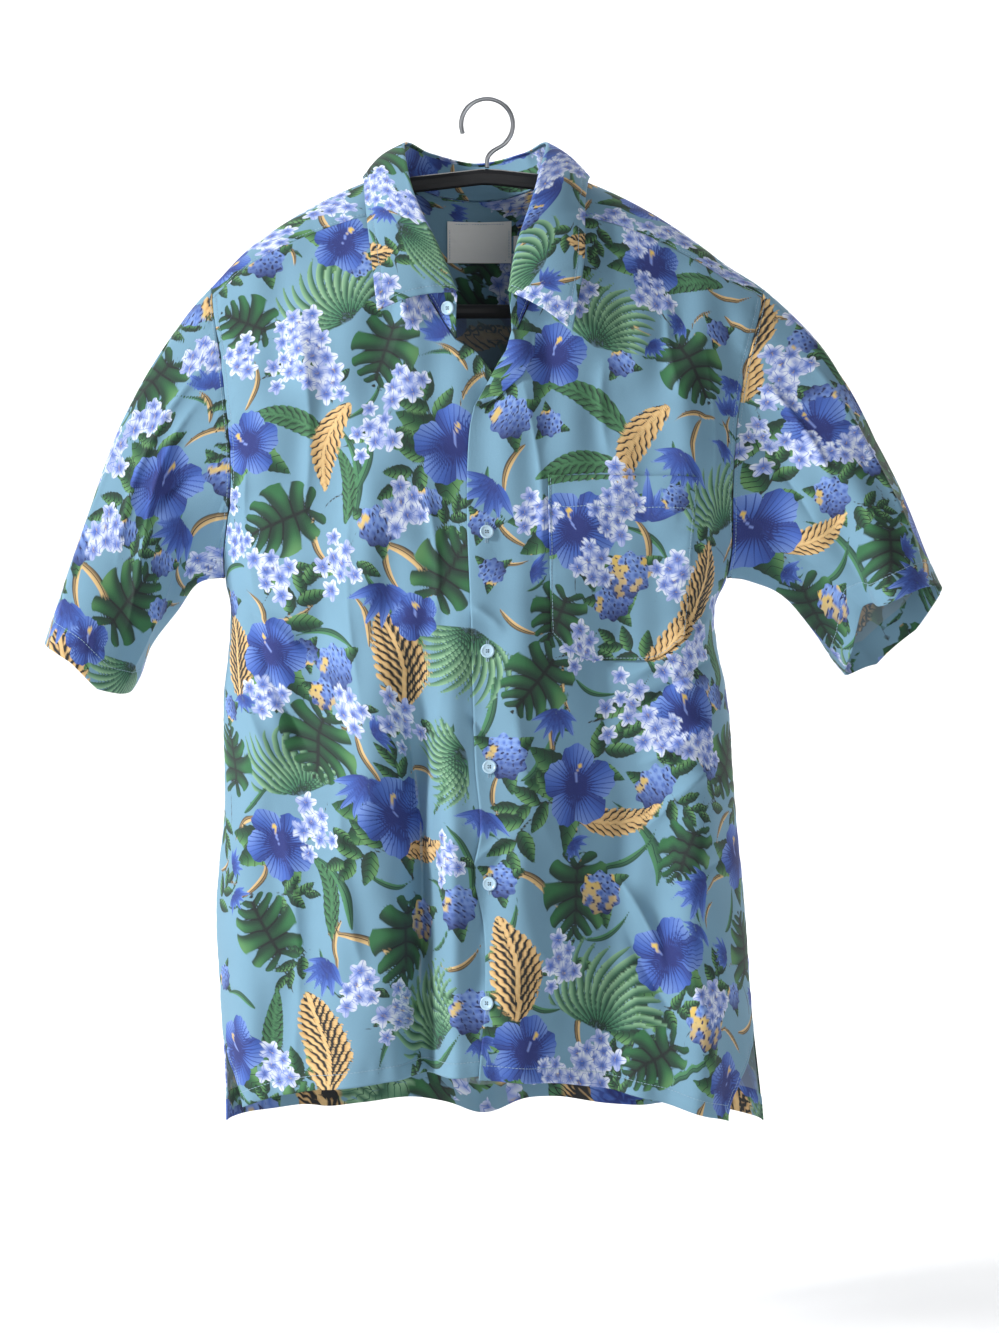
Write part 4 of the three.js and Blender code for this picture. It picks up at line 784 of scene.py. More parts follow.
def sleeve_flat(grid, sleeve):
    """Places of a sleeve laid flat, cut open along the underarm: around it, and down its axis."""
    start, end = grid[0].mean(0), grid[-1].mean(0)
    axis = unit((end - start) * [1, 0, 1])
    outward = np.array([-axis[2], 0, axis[0]])
    outward = outward * np.sign(outward[0] * sleeve["side"])
    away = grid - start
    across, depth = away @ outward, -away[..., 1]
    across = across - (across.max(1, keepdims=True) + across.min(1, keepdims=True)) / 2
    wide, deep = np.ptp(across, axis=1).mean() / 2, sleeve["depth"]
    turn = np.unwrap(np.arctan2(depth / deep, across / wide), axis=1)
    turn = turn - 2 * math.pi * np.round(turn.mean(1, keepdims=True) / (2 * math.pi))
    steps = np.linspace(-2 * math.pi, 2 * math.pi, 721)
    arc = np.cumsum(np.hypot(wide * np.sin(steps), deep * np.cos(steps))) * (steps[1] - steps[0])
    around_it = np.interp(turn, steps, arc - np.interp(0, steps, arc))
    return np.stack([-sleeve["side"] * around_it, -(away @ axis)])


# Print colours, from 0 to 255 as seen
def tone(r, g, b):
    c = np.array([r, g, b]) / 255
    return np.where(c <= 0.04045, c / 12.92, ((c + 0.055) / 1.055) ** 2.4)


GROUND = tone(117, 160, 184)
LEAF_BLACK, LEAF_DARK = tone(6, 22, 20), tone(12, 50, 36)
LEAF_MID, LEAF_PALE = tone(40, 106, 60), tone(116, 168, 104)
FAN_DARK, FAN_MID, FAN_PALE = tone(14, 58, 48), tone(56, 126, 90), tone(158, 200, 158)
GOLD, GOLD_DEEP, BROWN, BLACK = tone(230, 194, 134), tone(190, 138, 74), tone(40, 34, 30), tone(14, 16, 18)
BLUE_DEEP, BLUE_MID, BLUE_PALE = tone(22, 40, 116), tone(58, 98, 188), tone(136, 168, 226)
NAVY, WHITE, LILAC = tone(20, 30, 82), tone(226, 234, 248), tone(128, 150, 220)
YELLOW, STEM = tone(228, 194, 98), tone(40, 44, 34)


def mix(a, b, t):
    return a + (b - a) * np.clip(t, 0, 1)[..., None]


# Each motif gives how far inside its outline a place is, the distance from its drawn lines, and the
# two colours of its body and lines. Its own x runs from the stem to the tip.
def monstera(x, y, s):
    """Split leaf: fingers leave the midrib and sweep to the tip, with dark cuts in from the rim."""
    side, pitch = np.abs(y), 0.27 * s
    along = np.clip((x + 0.8 * s) / (1.7 * s), 0, 1)
    finger = (x + 0.9 * s - lerp(-0.55, 0.95, along) * side) / pitch
    off = np.abs(finger - np.round(finger))
    rim = 1 - np.hypot(x / s, y / (0.86 * s)) - 0.35 * off * off
    rim = np.where(x < -0.6 * s, np.minimum(rim, (side + 0.9 * (x + 0.6 * s)) / s), rim)
    cut = (0.5 - off) * pitch * 0.85 - 1.3 * smooth(0.45, 0.05, rim)
    inside = np.minimum(rim * 0.86 * s, np.where(rim < 0.45, cut, 9))
    lit = 0.5 + 0.5 * np.cos(2 * math.pi * (finger - np.round(finger)) + 0.9)
    body = mix(LEAF_DARK, LEAF_MID, lit * (0.3 + 0.9 * smooth(0.05, 0.7, side / s)))
    body = mix(body, LEAF_PALE, 0.55 * lit * smooth(0.35, 0.9, side / s) * smooth(-0.4, 0.6, y / s))
    body = mix(body, LEAF_BLACK, smooth(2.4, 0.6, side))
    line = np.cos(math.pi * finger) * pitch / math.pi * lerp(0.5, 1.6, np.clip(side / s, 0, 1))
    return inside, line, body, LEAF_BLACK + 0 * body


def fan(x, y, s):
    """Palm leaf: blades from one base, all bent the same way, apart at their tips."""
    x = x + 0.8 * s
    r, turn = np.hypot(x, y), np.arctan2(y, x)
    pitch = 0.19
    blade_at = (turn + 0.55 * (r / (1.6 * s)) ** 2) / pitch
    index = np.round(blade_at)
    across = blade_at - index
    length = 1.85 * s * (1 - 0.16 * turn**2) * (0.92 + 0.08 * np.cos(5.3 * index))
    half = np.minimum(0.54 * pitch * r, 0.16 * s) * np.maximum(0, 1 - (r / length) ** 2) ** 0.6
    inside = np.where(r < length, half - np.abs(across) * pitch * r, length - r)
    inside = np.minimum(inside, (1.3 - np.abs(turn)) * r)
    body = mix(FAN_DARK, FAN_MID, 0.75 + 1.5 * across)
    body = mix(body, FAN_PALE, (0.35 + 1.5 * across) * smooth(0.2, 0.9, r / s))
    line = np.cos(math.pi * blade_at) * pitch * r / math.pi * 1.9
    return inside, line, body, mix(LEAF_BLACK, FAN_MID, 0.9 * r / length)


def feather(x, y, s, width, dark, bright, line, cut, root, tip):
    """Long leaf of slanting barbs; the dark gaps between them go from root to tip in width."""
    bent = y - 0.22 * s * (x / s) ** 2
    side = np.abs(bent)
    t = np.clip((x + s) / (2 * s), 0, 1)
    edge = width * s * np.sin(math.pi * t**0.8) ** 0.7
    pitch = 0.19 * s
    barb = (x - 0.8 * side - 0.9 * pitch * np.sin(side / (0.35 * s))) / pitch
    barb = barb + 0.12 * np.sin(x * 0.9) + 0.5 * (bent > 0)
    off = np.abs(barb - np.round(barb))
    inside = edge * (1 - cut * 2 * off * off) - side
    inside = np.where(np.abs(x) < s, inside, s - np.abs(x) - 0.2)
    body = mix(dark, bright, 0.2 + 0.9 * (0.5 + 0.5 * np.cos(2 * math.pi * barb + 0.7)))
    thick = lerp(root, tip, np.clip(side / np.maximum(edge, 1), 0, 1))
    gap = np.cos(math.pi * barb) * pitch / math.pi / thick
    rib = smooth(0.4, 1.4, side)
    return inside, gap * rib + 9 * (1 - rib), mix(bright, body, rib), line + 0 * body


def feather_green(x, y, s):
    return feather(x, y, s, 0.27, LEAF_DARK, tone(70, 128, 84), LEAF_BLACK, 0.3, 0.5, 1.1)


def feather_gold(x, y, s):
    return feather(x, y, s, 0.33, GOLD_DEEP, GOLD, BLACK, 0.55, 0.9, 2.4)


def fern(x, y, s):
    return feather(x, y, s, 0.58, GOLD_DEEP, GOLD, BLACK, 0.6, 4.2, 1.6)


def off_end(x, y, s, half):
    """Distance inside a shape along x from 0 to s."""
    return np.where((x > 0) & (x < s), half - np.abs(y), -np.abs(x - s * (x > s / 2)) - 0.2)


def leaf(x, y, s):
    """Small oval leaf with a toothed edge."""
    t = np.clip(x / s, 0, 1)
    pitch = 0.17 * s
    vein = (x - 0.8 * np.abs(y)) / pitch
    edge = 0.23 * s * np.sin(math.pi * t**0.75) ** 0.9 * (1 + 0.05 * np.cos(2 * math.pi * vein))
    body = mix(LEAF_DARK, LEAF_MID, 0.5 + y / (0.25 * s))
    body = mix(body, LEAF_PALE, 0.75 * smooth(-0.02 * s, 0.2 * s, y))
    line = np.sin(math.pi * vein) * pitch / math.pi * 1.5
    return off_end(x, y, s, edge), line, body, mix(LEAF_BLACK, LEAF_DARK, 0.5 + 0 * t)


def blade(x, y, s, half=0.1, dark=FAN_DARK, bright=tone(74, 136, 92), line=FAN_DARK):
    bent = y - 0.3 * s * (x / s) ** 2
    t = np.clip((x + s) / (2 * s), 0, 1)
    inside = half * s * np.sin(math.pi * t**0.7) ** 0.8 - np.abs(bent)
    inside = np.where(np.abs(x) < s, inside, s - np.abs(x) - 0.2)
    body = mix(dark, bright, 0.6 + bent / (1.4 * half * s))
    return inside, bent * 1.6, body, line + 0 * body


def bract(x, y, s):
    return blade(x, y, s, 0.11, BLACK, GOLD, BROWN)


def stem(x, y, s):
    return blade(x, y, s, 0.035, STEM, STEM, STEM)


def petal(x, y, s):
    t = np.clip(x / s, 0, 1)
    half = 0.125 * s * np.sin(math.pi * t**0.7) ** 0.9
    body = mix(BLUE_DEEP, BLUE_MID, 0.3 + t + y / (0.25 * s))
    body = mix(body, BLUE_PALE, smooth(0.4, 1, t) * (0.5 + y / (0.2 * s)))
    return off_end(x, y, s, half), y * 1.6, body, mix(BLUE_DEEP, BLUE_MID, t)


def petals(x, y, notch, power, lean):
    """Distance, turn, place across a petal, and the rim of five petals as a share of the size."""
    r, turn = np.hypot(x, y), np.arctan2(y, x)
    part = turn * 5 / (2 * math.pi)
    f = part - np.round(part)
    return r, turn, part, f, 1 - notch + notch * np.cos(math.pi * f) ** power + lean * f


def hibiscus(x, y, s):
    r, turn, _, f, rim = petals(x, y, 0.24, 0.6, 0.1)
    rim = s * (rim + 0.025 * np.sin(turn * 17 + 2 * np.sin(turn * 3)))
    q, under = r / s, smooth(0.12, 0.5, f)
    body = mix(BLUE_DEEP, BLUE_MID, smooth(0.05, 0.55, q))
    body = mix(body, BLUE_PALE, 0.75 * smooth(0.35, 1, q) * smooth(0.3, -0.4, f))
    body = mix(body, BLUE_DEEP, 0.7 * under)
    stroke = mix(BLUE_DEEP, BLUE_MID, 0.8 * smooth(0.3, 1, q) * (1 - under))
    return rim - r, np.sin(turn * 20) * r / 20 * 1.5, body, stroke


def blossom(x, y, s):
    r, _, part, f, rim = petals(x, y, 0.55, 0.9, 0.0)
    q = r / s
    body = mix(mix(BLUE_DEEP, LILAC, smooth(0.08, 0.32, q)), WHITE, smooth(0.3, 0.7, q))
    body = mix(body, BLUE_MID, 0.75 * smooth(-0.05, 0.45, f) * smooth(-0.6, 0.7, -y / s))
    body = mix(body, LILAC, 0.55 * smooth(0.2, -0.9, y / s))
    body = mix(body, YELLOW, smooth(0.14, 0.05, q))
    return s * rim - r, np.sin(math.pi * part) * r * 0.9, body, mix(BLUE_MID, LILAC, q)


def stamen(x, y, s):
    bent = y - 0.1 * s * np.sin(x / s * 3)
    inside = np.maximum(off_end(x, bent, s, 0.7), 2.2 - np.hypot(x - s, y))
    body = mix(LILAC, YELLOW, smooth(0.5 * s, 0.8 * s, x))
    return inside, 9 + 0 * x, body, YELLOW + 0 * body


def hydrangea(x, y, s, warm=False):
    """Round head of small four-petalled florets, darker on its lower side."""
    r, turn, pitch = np.hypot(x, y), np.arctan2(y, x), 6.6
    best = None
    for shift in (0.0, 0.5):
        cx, cy = x / pitch - shift, y / (pitch * 1.732) - shift
        ix, iy = np.round(cx), np.round(cy)
        dx, dy = (cx - ix) * pitch, (cy - iy) * pitch * 1.732
        code = np.sin(ix * 12.9 + iy * 78.2 + shift * 37.7) * 43.7
        found = [np.hypot(dx, dy), np.arctan2(dy, dx), code - np.floor(code)]
        best = found if best is None else [np.where(found[0] < best[0], p, q) for p, q in zip(found, best)]
    d, way, code = best
    floret = pitch * 0.62 * (0.62 + 0.38 * np.abs(np.cos(2 * way + 6 * code))) - d
    lit = np.clip(0.62 + y / (1.5 * s), 0, 1)
    body = mix(mix(NAVY, BLUE_MID, lit + 0.1), BLUE_PALE, smooth(0.3, 3, d) * lit)
    body = mix(body, YELLOW, (code > (0.6 if warm else 0.95)) * (0.5 + 0.5 * lit))
    body = mix(NAVY, body, smooth(-0.5, 0.4, floret))
    return s * (0.92 + 0.08 * np.sin(9 * turn)) - r, floret * 1.5, body, NAVY + 0 * body


def posy(x, y, s):
    return hydrangea(x, y, s, True)


MOTIFS = {f.__name__: f for f in (
    stem, blade, bract, leaf, fan, feather_green, monstera, feather_gold, fern,
    petal, hydrangea, posy, hibiscus, blossom, stamen,
)}
DRAW_ORDER = list(MOTIFS)
BLOOMS = DRAW_ORDER[DRAW_ORDER.index("petal"):]

# Where the large motifs lie on the bolt of cloth: across, down, turn in degrees and size
PRINT = {
    "monstera": (
        (-84, -214, 250, 34), (-176, -358, 200, 37), (-172, -542, 235, 38), (-110, -706, 262, 40),
        (174, -222, 300, 36), (62, -436, 250, 30), (44, -492, 230, 35), (184, -640, 250, 30),
        (86, -668, 265, 40), (-206, -186, 150, 30), (-30, -402, 60, 38), (-198, -848, 40, 30),
        (150, -806, 210, 30), (-240, -700, 120, 34), (236, -560, 60, 34), (264, -720, 100, 34),
        (-272, -560, 80, 32),
    ),
    "fan": (
        (-136, -166, 130, 42), (-20, -478, 250, 38), (-66, -762, 120, 44), (112, -746, 75, 46),
        (100, -186, 70, 38), (-40, -560, 200, 32), (-208, -560, 100, 36), (204, -330, 110, 36),
    ),
    "hibiscus": (
        (-122, -118, 0, 27), (-26, -300, 20, 34), (-192, -468, 60, 30), (-114, -604, 40, 35),
        (56, -222, 10, 28), (74, -362, 50, 34), (176, -524, 30, 32), (86, -580, 15, 35),
        (166, -724, 70, 32), (34, -792, 0, 30), (140, -136, 30, 26), (-204, -292, 80, 28),
        (-60, -440, 30, 20), (-228, -628, 40, 30), (226, -836, 10, 28), (258, -640, 40, 28),
        (-266, -800, 70, 30), (256, -420, 0, 26),
    ),
    "sprig": (
        (-52, -262, 120, 20), (-60, -322, 220, 20), (-168, -428, 60, 22), (-150, -634, 200, 22),
        (-112, -572, 80, 20), (-196, -816, 60, 24), (50, -166, 90, 20), (112, -550, 40, 22),
        (44, -592, 190, 22), (24, -622, 250, 22), (140, -790, 200, 24), (128, -462, 150, 18),
    ),
    "feather_green": (
        (-166, -274, 160, 38), (88, -258, 150, 42), (76, -312, 190, 38), (170, -146, 200, 34),
        (-116, -330, 96, 34), (-182, -668, 110, 34), (-226, -780, 80, 34), (222, -470, 100, 32),
    ),
    "feather_gold": (
        (-136, -296, 250, 40), (-82, -634, 5, 37), (124, -292, 240, 42), (168, -446, 60, 40),
        (126, -610, 5, 38), (-64, -116, 80, 34),
    ),
    "fern": (
        (-74, -474, 100, 42), (-176, -786, 110, 44), (26, -724, 100, 42), (190, -406, 80, 36),
        (-232, -470, 100, 36),
    ),
    "cluster": (
        (-92, -286, 0, 17), (-126, -396, 0, 18), (-66, -350, 0, 14), (-82, -526, 0, 18),
        (-192, -614, 0, 17), (-112, -762, 0, 16), (-150, -742, 0, 12), (112, -330, 0, 14),
        (86, -462, 0, 15), (126, -512, 0, 20), (70, -722, 0, 16), (90, -816, 0, 15),
        (158, -540, 90, 12), (-38, -636, 0, 14), (192, -462, 0, 13), (-170, -226, 0, 16),
        (-186, -400, 40, 15),
    ),
    "hydrangea": (
        (-90, -366, 0, 18), (-136, -482, 0, 21), (-26, -676, 0, 19), (-14, -760, 0, 19),
        (20, -276, 0, 19), (16, -554, 0, 20), (154, -582, 0, 18), (-190, -130, 0, 18),
        (110, -420, 30, 18), (12, -656, 0, 15),
    ),
    "posy": (
        (-82, -692, 0, 19), (120, -398, 0, 21), (110, -668, 0, 19), (198, -784, 0, 21),
        (-154, -504, 0, 14),
    ),
    "bract": (
        (-70, -386, 150, 34), (-148, -702, 160, 34), (44, -654, 150, 36), (-146, -384, 300, 26),
        (-170, -440, 20, 22), (60, -540, 100, 26), (-100, -440, 110, 24),
    ),
    "spikes": (
        (-84, -414, 265, 34), (-140, -572, 250, 32), (-182, -722, 245, 30), (8, -330, 230, 32),
        (134, -352, 90, 34), (204, -668, 200, 28), (166, -300, 240, 28), (-34, -208, 120, 26),
        (64, -516, 265, 26), (0, -600, 250, 24),
    ),
    "blade": (
        (-106, -318, 100, 42), (-96, -310, 80, 36), (-32, -568, 70, 42), (-174, -656, 130, 40),
        (-46, -802, 30, 36), (6, -512, 80, 38), (60, -544, 60, 42), (150, -622, 120, 42),
        (174, -822, 20, 38), (-16, -636, 110, 36), (-140, -452, 170, 30), (18, -700, 60, 34),
        (136, -640, 30, 32),
    ),
}
BOLT_WIDE, BOLT_LONG = 480.0, 800.0
# Small motifs strewn in the gaps that the large ones leave
FILLERS = (("cluster", 12), ("sprig", 15), ("blade", 24), ("bract", 22), ("spikes", 17), ("hydrangea", 12))
FILL_COUNT, FILL_TRIES, FILL_SHARE, FILL_GAP = 200, 14000, 0.62, 1.5
FILL_ACROSS, FILL_DOWN = (-300, 300), (-905, -105)


def strewn(rows):
    rng = np.random.default_rng(23)
    places = [(x, z, size) for _, x, z, _, size in rows]
    found = []
    for _ in range(FILL_TRIES):
        kind, size = FILLERS[len(found) % len(FILLERS)]
        x, z = rng.uniform(*FILL_ACROSS), rng.uniform(*FILL_DOWN)
        gaps = [math.hypot(x - a, z - b) - FILL_SHARE * (size + c) for a, b, c in places]
        if min(gaps) > FILL_GAP and len(found) < FILL_COUNT:
            places.append((x, z, size))
            found.append((kind, x, z, rng.uniform(0, 360), size))
    return rows + found


def expand(rows):
    """Bunches and sprays as their single flowers, leaves and stems."""
    rng = np.random.default_rng(11)
    found = []
    for kind, x, z, turn, size in rows:
        a = turn * DEG
        if kind == "cluster":
            found.append(("stem", x, z, turn + 40, size * 1.9))
            for k in range(8):
                b, reach = a + k * 2.4, size * (0.2 + 0.17 * k)
                at = (x + reach * math.cos(b), z + reach * math.sin(b))
                found.append(("blossom", *at, 50 * k, rng.uniform(7.5, 10.5)))
            found.append(("leaf", x, z, turn + 200, size * 1.5))
            found.append(("leaf", x + size, z, turn - 30, size * 1.3))
        elif kind == "spikes":
            for k in range(7):
                found.append(("petal", x, z, turn - 66 + 22 * k, size * rng.uniform(0.8, 1.2)))
            found.append(("bract", x - 14 * math.cos(a), z - 14 * math.sin(a), turn + 20, size * 0.8))
            found.append(("blade", x + 8 * math.cos(a), z - 12, turn + 60, size * 0.8))
        elif kind == "sprig":
            found.append(("stem", x, z, turn, size * 1.1))
            for k, away in enumerate((-64, 48, -40, 30, -6)):
                reach = size * (0.4 * k - 0.8)
                at = (x + reach * math.cos(a), z + reach * math.sin(a))
                found.append(("leaf", *at, turn + away, size * (1.5 - 0.1 * k)))
        elif kind == "hibiscus":
            found.append((kind, x, z, turn, size))
            for away, share in ((130, 1.7), (-120, 1.6), (160, 1.6)):
                found.append(("leaf", x, z, turn + away, size * share))
            found.append(("stamen", x, z, turn + 60, size * 0.5))
        else:
            found.append((kind, x, z, turn, size))
            if kind == "monstera":
                at = (x - 1.2 * size * math.cos(a), z - 1.2 * size * math.sin(a))
                found.append(("stem", *at, turn + 12, size * 0.5))
            if kind in ("hydrangea", "posy"):
                for away in (30, 150, 280):
                    found.append(("leaf", x, z, turn + away, size * 1.6))
    return sorted(found, key=lambda row: DRAW_ORDER.index(row[0]))


# A distance from outlines and lines at which the plain ground shows
FAR = 9.0


def paint(u, v, rows, shift=(0, 0), turned=0.0, repeat=False):
    """Print attributes of the cloth at flat places u across and v down."""
    u, v = u + shift[0], v + shift[1]
    if turned:
        c, s = math.cos(turned * DEG), math.sin(turned * DEG)
        u, v = c * u - s * v, s * u + c * v
    layers = [dict(inside=np.full(u.size, -FAR), line=np.full(u.size, FAR),
                   body=np.tile(GROUND, (u.size, 1)), stroke=np.tile(GROUND, (u.size, 1))) for _ in range(2)]
    low, high = (u.min(), v.min()), (u.max(), v.max())
    for kind, x, z, turn, size in rows:
        reach = 1.2 * size
        places = [(x, z)]
        if repeat:
            places = [(x + i * BOLT_WIDE, z + j * BOLT_LONG) for i in range(-3, 4) for j in range(-3, 4)]
        for px, pz in places:
            if not (low[0] - reach < px < high[0] + reach and low[1] - reach < pz < high[1] + reach):
                continue
            near = np.flatnonzero((np.abs(u - px) < reach) & (np.abs(v - pz) < reach))
            if not near.size:
                continue
            c, s = math.cos(turn * DEG), math.sin(turn * DEG)
            dx, dy = u[near] - px, v[near] - pz
            inside, line, body, stroke = MOTIFS[kind](c * dx + s * dy, -s * dx + c * dy, size)
            layer = layers[kind in BLOOMS]
            take = (inside > 0) | (inside > layer["inside"][near])
            at = near[take]
            layer["inside"][at] = inside[take]
            layer["line"][at] = line[take]
            layer["body"][at] = body[take]
            layer["stroke"][at] = stroke[take]
    return layers


# Meshes
def new_object(name, co, faces, uv=None, colours=None, values=None):
    """Object of quads from points in millimetres, with flat places and attributes by vertex."""
    mesh = bpy.data.meshes.new(name)
    mesh.vertices.add(len(co))
    mesh.vertices.foreach_set("co", (co / MM).astype(np.float32).ravel())
    mesh.loops.add(faces.size)
    mesh.loops.foreach_set("vertex_index", faces.astype(np.int32).ravel())
    mesh.polygons.add(len(faces))
    mesh.polygons.foreach_set("loop_start", np.arange(0, faces.size, faces.shape[1], dtype=np.int32))
    mesh.update(calc_edges=True)
    if uv is not None:
        layer = mesh.uv_layers.new(name="cloth")
        layer.data.foreach_set("uv", (uv[faces.ravel()] / MM).astype(np.float32).ravel())
    for key, data in (colours or {}).items():
        rgba = np.concatenate([np.clip(data, 0, 1), np.ones((len(data), 1))], 1).astype(np.float32)
        mesh.attributes.new(key, "FLOAT_COLOR", "POINT").data.foreach_set("color", rgba.ravel())
    for key, data in (values or {}).items():
        mesh.attributes.new(key, "FLOAT", "POINT").data.foreach_set("value", data.astype(np.float32))
    mesh.validate()
    mesh.shade_smooth()
    obj = bpy.data.objects.new(name, mesh)
    bpy.context.scene.collection.objects.link(obj)
    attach(obj, "root")
    return obj


def grid_faces(rows, columns, flip):
    j, i = np.mgrid[:rows - 1, :columns - 1]
    a = (j * columns + i).ravel()
    faces = np.stack([a, a + 1, a + columns + 1, a + columns], 1)
    return faces[:, ::-1] if flip else faces


def border_distance(grid, border):
    """Distance of each point of a grid from one of its borders, along the cloth."""
    axis = 0 if border in ("top", "bottom") else 1
    length = lengths_along(grid, axis)
    return length if border in ("top", "left") else np.take(length, [-1], axis) - length


def run_lengths(grid, border):
    """Length along the same border at each point."""
    return border_distance(grid, "left" if border in ("top", "bottom") else "top")


STITCH_SINK, STITCH_REACH, PUCKER, PUCKER_REACH = 0.45, 1.3, 0.35, 9


def seam_relief(grid, normal, seams, seed):
    """Cloth drawn in along its stitch lines, doubled beyond them where turned up, and puckered."""
    lift = np.zeros(grid.shape[:2])
    for k, (border, away, doubled) in enumerate(seams):
        distance, run = border_distance(grid, border), run_lengths(grid, border)
        off = distance - away
        lift -= STITCH_SINK * np.exp(-((off / STITCH_REACH) ** 2))
        lift += doubled * smooth(1.0, -1.0, off)
        waves = noise(run, 0 * run, 16, seed + k) + 0.6 * noise(run, 0 * run, 9, seed + 40 + k)
        lift += PUCKER * waves * np.exp(-((off / PUCKER_REACH) ** 2))
    return grid + normal * lift[..., None]


def line_in(grid, normal, border, away):
    """Points and normals of a line at a distance from one border of a grid."""
    distance = border_distance(grid, border)
    both = np.concatenate([grid, normal], 2)
    if border in ("left", "right"):
        distance, both = distance.T, both.transpose(1, 0, 2)
    if border in ("bottom", "right"):
        distance, both = distance[::-1], both[::-1]
    index = np.array([np.searchsorted(column_of, away) for column_of in distance.T])
    index = np.clip(index, 1, len(distance) - 1)
    across = np.arange(distance.shape[1])
    low, high = distance[index - 1, across], distance[index, across]
    t = np.clip((away - low) / np.maximum(high - low, 1e-6), 0, 1)[:, None]
    line = both[index - 1, across] * (1 - t) + both[index, across] * t
    return line[:, :3], unit(line[:, 3:])


STITCHES = []
THREAD_UP = 0.05


def thread(start, end, side, top, narrow=0.5):
    """Eight corners of each thread from start to end: its foot, and its narrower top."""
    foot = [start - side, start + side, end + side, end - side]
    side = side * narrow
    crest = [start - side + top, start + side + top, end + side + top, end - side + top]
    return np.stack(foot + crest, -2)


def add_stitches(points, normals, pitch=2.9, length=2.1, half=0.24):
    """A row of short threads along a line."""
    steps = lengths_along(points, 0)
    starts = np.arange(pitch, steps[-1] - pitch, pitch)

    def at(where, values):
        return np.stack([np.interp(where, steps, values[:, k]) for k in range(3)], -1)

    first, last, normal = at(starts, points), at(starts + length, points), unit(at(starts, normals))
    side = unit(np.cross(last - first, normal)) * half
    STITCHES.append(thread(first, last, side, normal * half * 0.9))


BRICK = np.array([[4, 5, 6, 7], [0, 1, 5, 4], [1, 2, 6, 5], [2, 3, 7, 6], [3, 0, 4, 7]])


def cloth(name, grid, flat, toward, rows, tube=False, inside=False, seams=(), turned_up=None, seed=0,
          **painting):
    """One side of a cloth piece: its face, with the rim turned in; or its wrong side, facing in.

    seams holds (border, distance, thickness of the turning), and turned_up the border and width of the
    turning that shows its right side on the inside."""
    normal = grid_normals(grid)
    if tube:
        closed = grid_normals(grid[:, :-1], True)
        normal = np.concatenate([closed, closed[:, :1]], 1)
    flip = (normal * toward).sum() < 0
    if flip:
        normal = -normal
    grid = seam_relief(grid, normal, seams, seed)
    n, m = grid.shape[:2]
    co = (grid + normal * (WRONG_SIDE if inside else OUT)).reshape(-1, 3)
    faces = grid_faces(n, m, flip if inside else not flip)
    u, v = (part.ravel() for part in flat)
    wrong = np.full(len(co), -FAR)
    if inside and turned_up:
        wrong = (border_distance(grid, turned_up[0]) - turned_up[1]).ravel()
    if not inside:
        for border, away, _ in seams:
            line, up = line_in(grid, normal, border, away)
            add_stitches(line + up * (OUT + THREAD_UP), up)
        j, i = np.mgrid[:n, :m]
        index = j * m + i
        borders = [index[0], index[-1]] + ([] if tube else [index[:, 0], index[:, -1]])
        for k, border in enumerate(borders):
            start = len(co)
            deeper = co[border] - normal.reshape(-1, 3)[border] * RIM_DEEP
            co = np.concatenate([co, deeper])
            u, v, wrong = (np.concatenate([part, part[border]]) for part in (u, v, wrong))
            a, b = border[:-1], border[1:]
            c = start + np.arange(len(border) - 1)
            quad = np.stack([a, c, c + 1, b], 1)
            turn_round = k in (0, 3)
            faces = np.concatenate([faces, quad[:, ::-1] if turn_round != flip else quad])
    layers = paint(u, v, rows, **painting)
    values, colours = {"wrong": wrong}, {}
    for key, layer in zip(("leaf", "bloom"), layers):
        values[f"{key}_in"], values[f"{key}_line"] = layer["inside"], layer["line"]
        colours[f"{key}_body"], colours[f"{key}_stroke"] = layer["body"], layer["stroke"]
    obj = new_object(name, co, faces, np.stack([u, v], 1), colours, values)
    obj.data.materials.append(PRINTED)
    return obj


# Materials
def new_material(name, colour, roughness, metallic=0.0, **inputs):
    material = bpy.data.materials.new(name)
    material.use_nodes = True
    shader = material.node_tree.nodes["Principled BSDF"]
    shader.inputs["Base Color"].default_value = (*colour, 1)
    shader.inputs["Roughness"].default_value = roughness
    shader.inputs["Metallic"].default_value = metallic
    for key, value in inputs.items():
        shader.inputs[key.replace("_", " ")].default_value = value
    return material, shader


class Nodes:
    """Short ways to add nodes to a material."""

    def __init__(self, material):
        self.tree = material.node_tree

    def add(self, kind, **settings):
        node = self.tree.nodes.new(kind)
        for key, value in settings.items():
            setattr(node, key, value)
        return node

    def link(self, start, end):
        self.tree.links.new(start, end)

    def attribute(self, name, output):
        return self.add("ShaderNodeAttribute", attribute_name=name).outputs[output]

    def ramp(self, value, low, high):
        node = self.add("ShaderNodeMapRange", clamp=True)
        self.link(value, node.inputs["Value"])
        node.inputs["From Min"].default_value, node.inputs["From Max"].default_value = low, high
        return node.outputs["Result"]

    def maths(self, operation, a, b=None):
        node = self.add("ShaderNodeMath", operation=operation)
        for k, value in enumerate((a, b)):
            if value is None:
                continue
            if isinstance(value, (int, float)):
                node.inputs[k].default_value = value
            else:
                self.link(value, node.inputs[k])
        return node.outputs[0]

    def mixed(self, factor, a, b):
        node = self.add("ShaderNodeMix", data_type="RGBA")
        for socket, value in ((node.inputs[0], factor), (node.inputs[6], a), (node.inputs[7], b)):
            if isinstance(value, (int, float)):
                socket.default_value = value
            elif isinstance(value, (tuple, np.ndarray)):
                socket.default_value = (*value, 1)
            else:
                self.link(value, socket)
        return node.outputs[2]


WEAVE_SCALE, YARN_SCALE, CRUMPLE_SCALE, COTTON_ROUGHNESS = 480, 2600, 420, 0.82


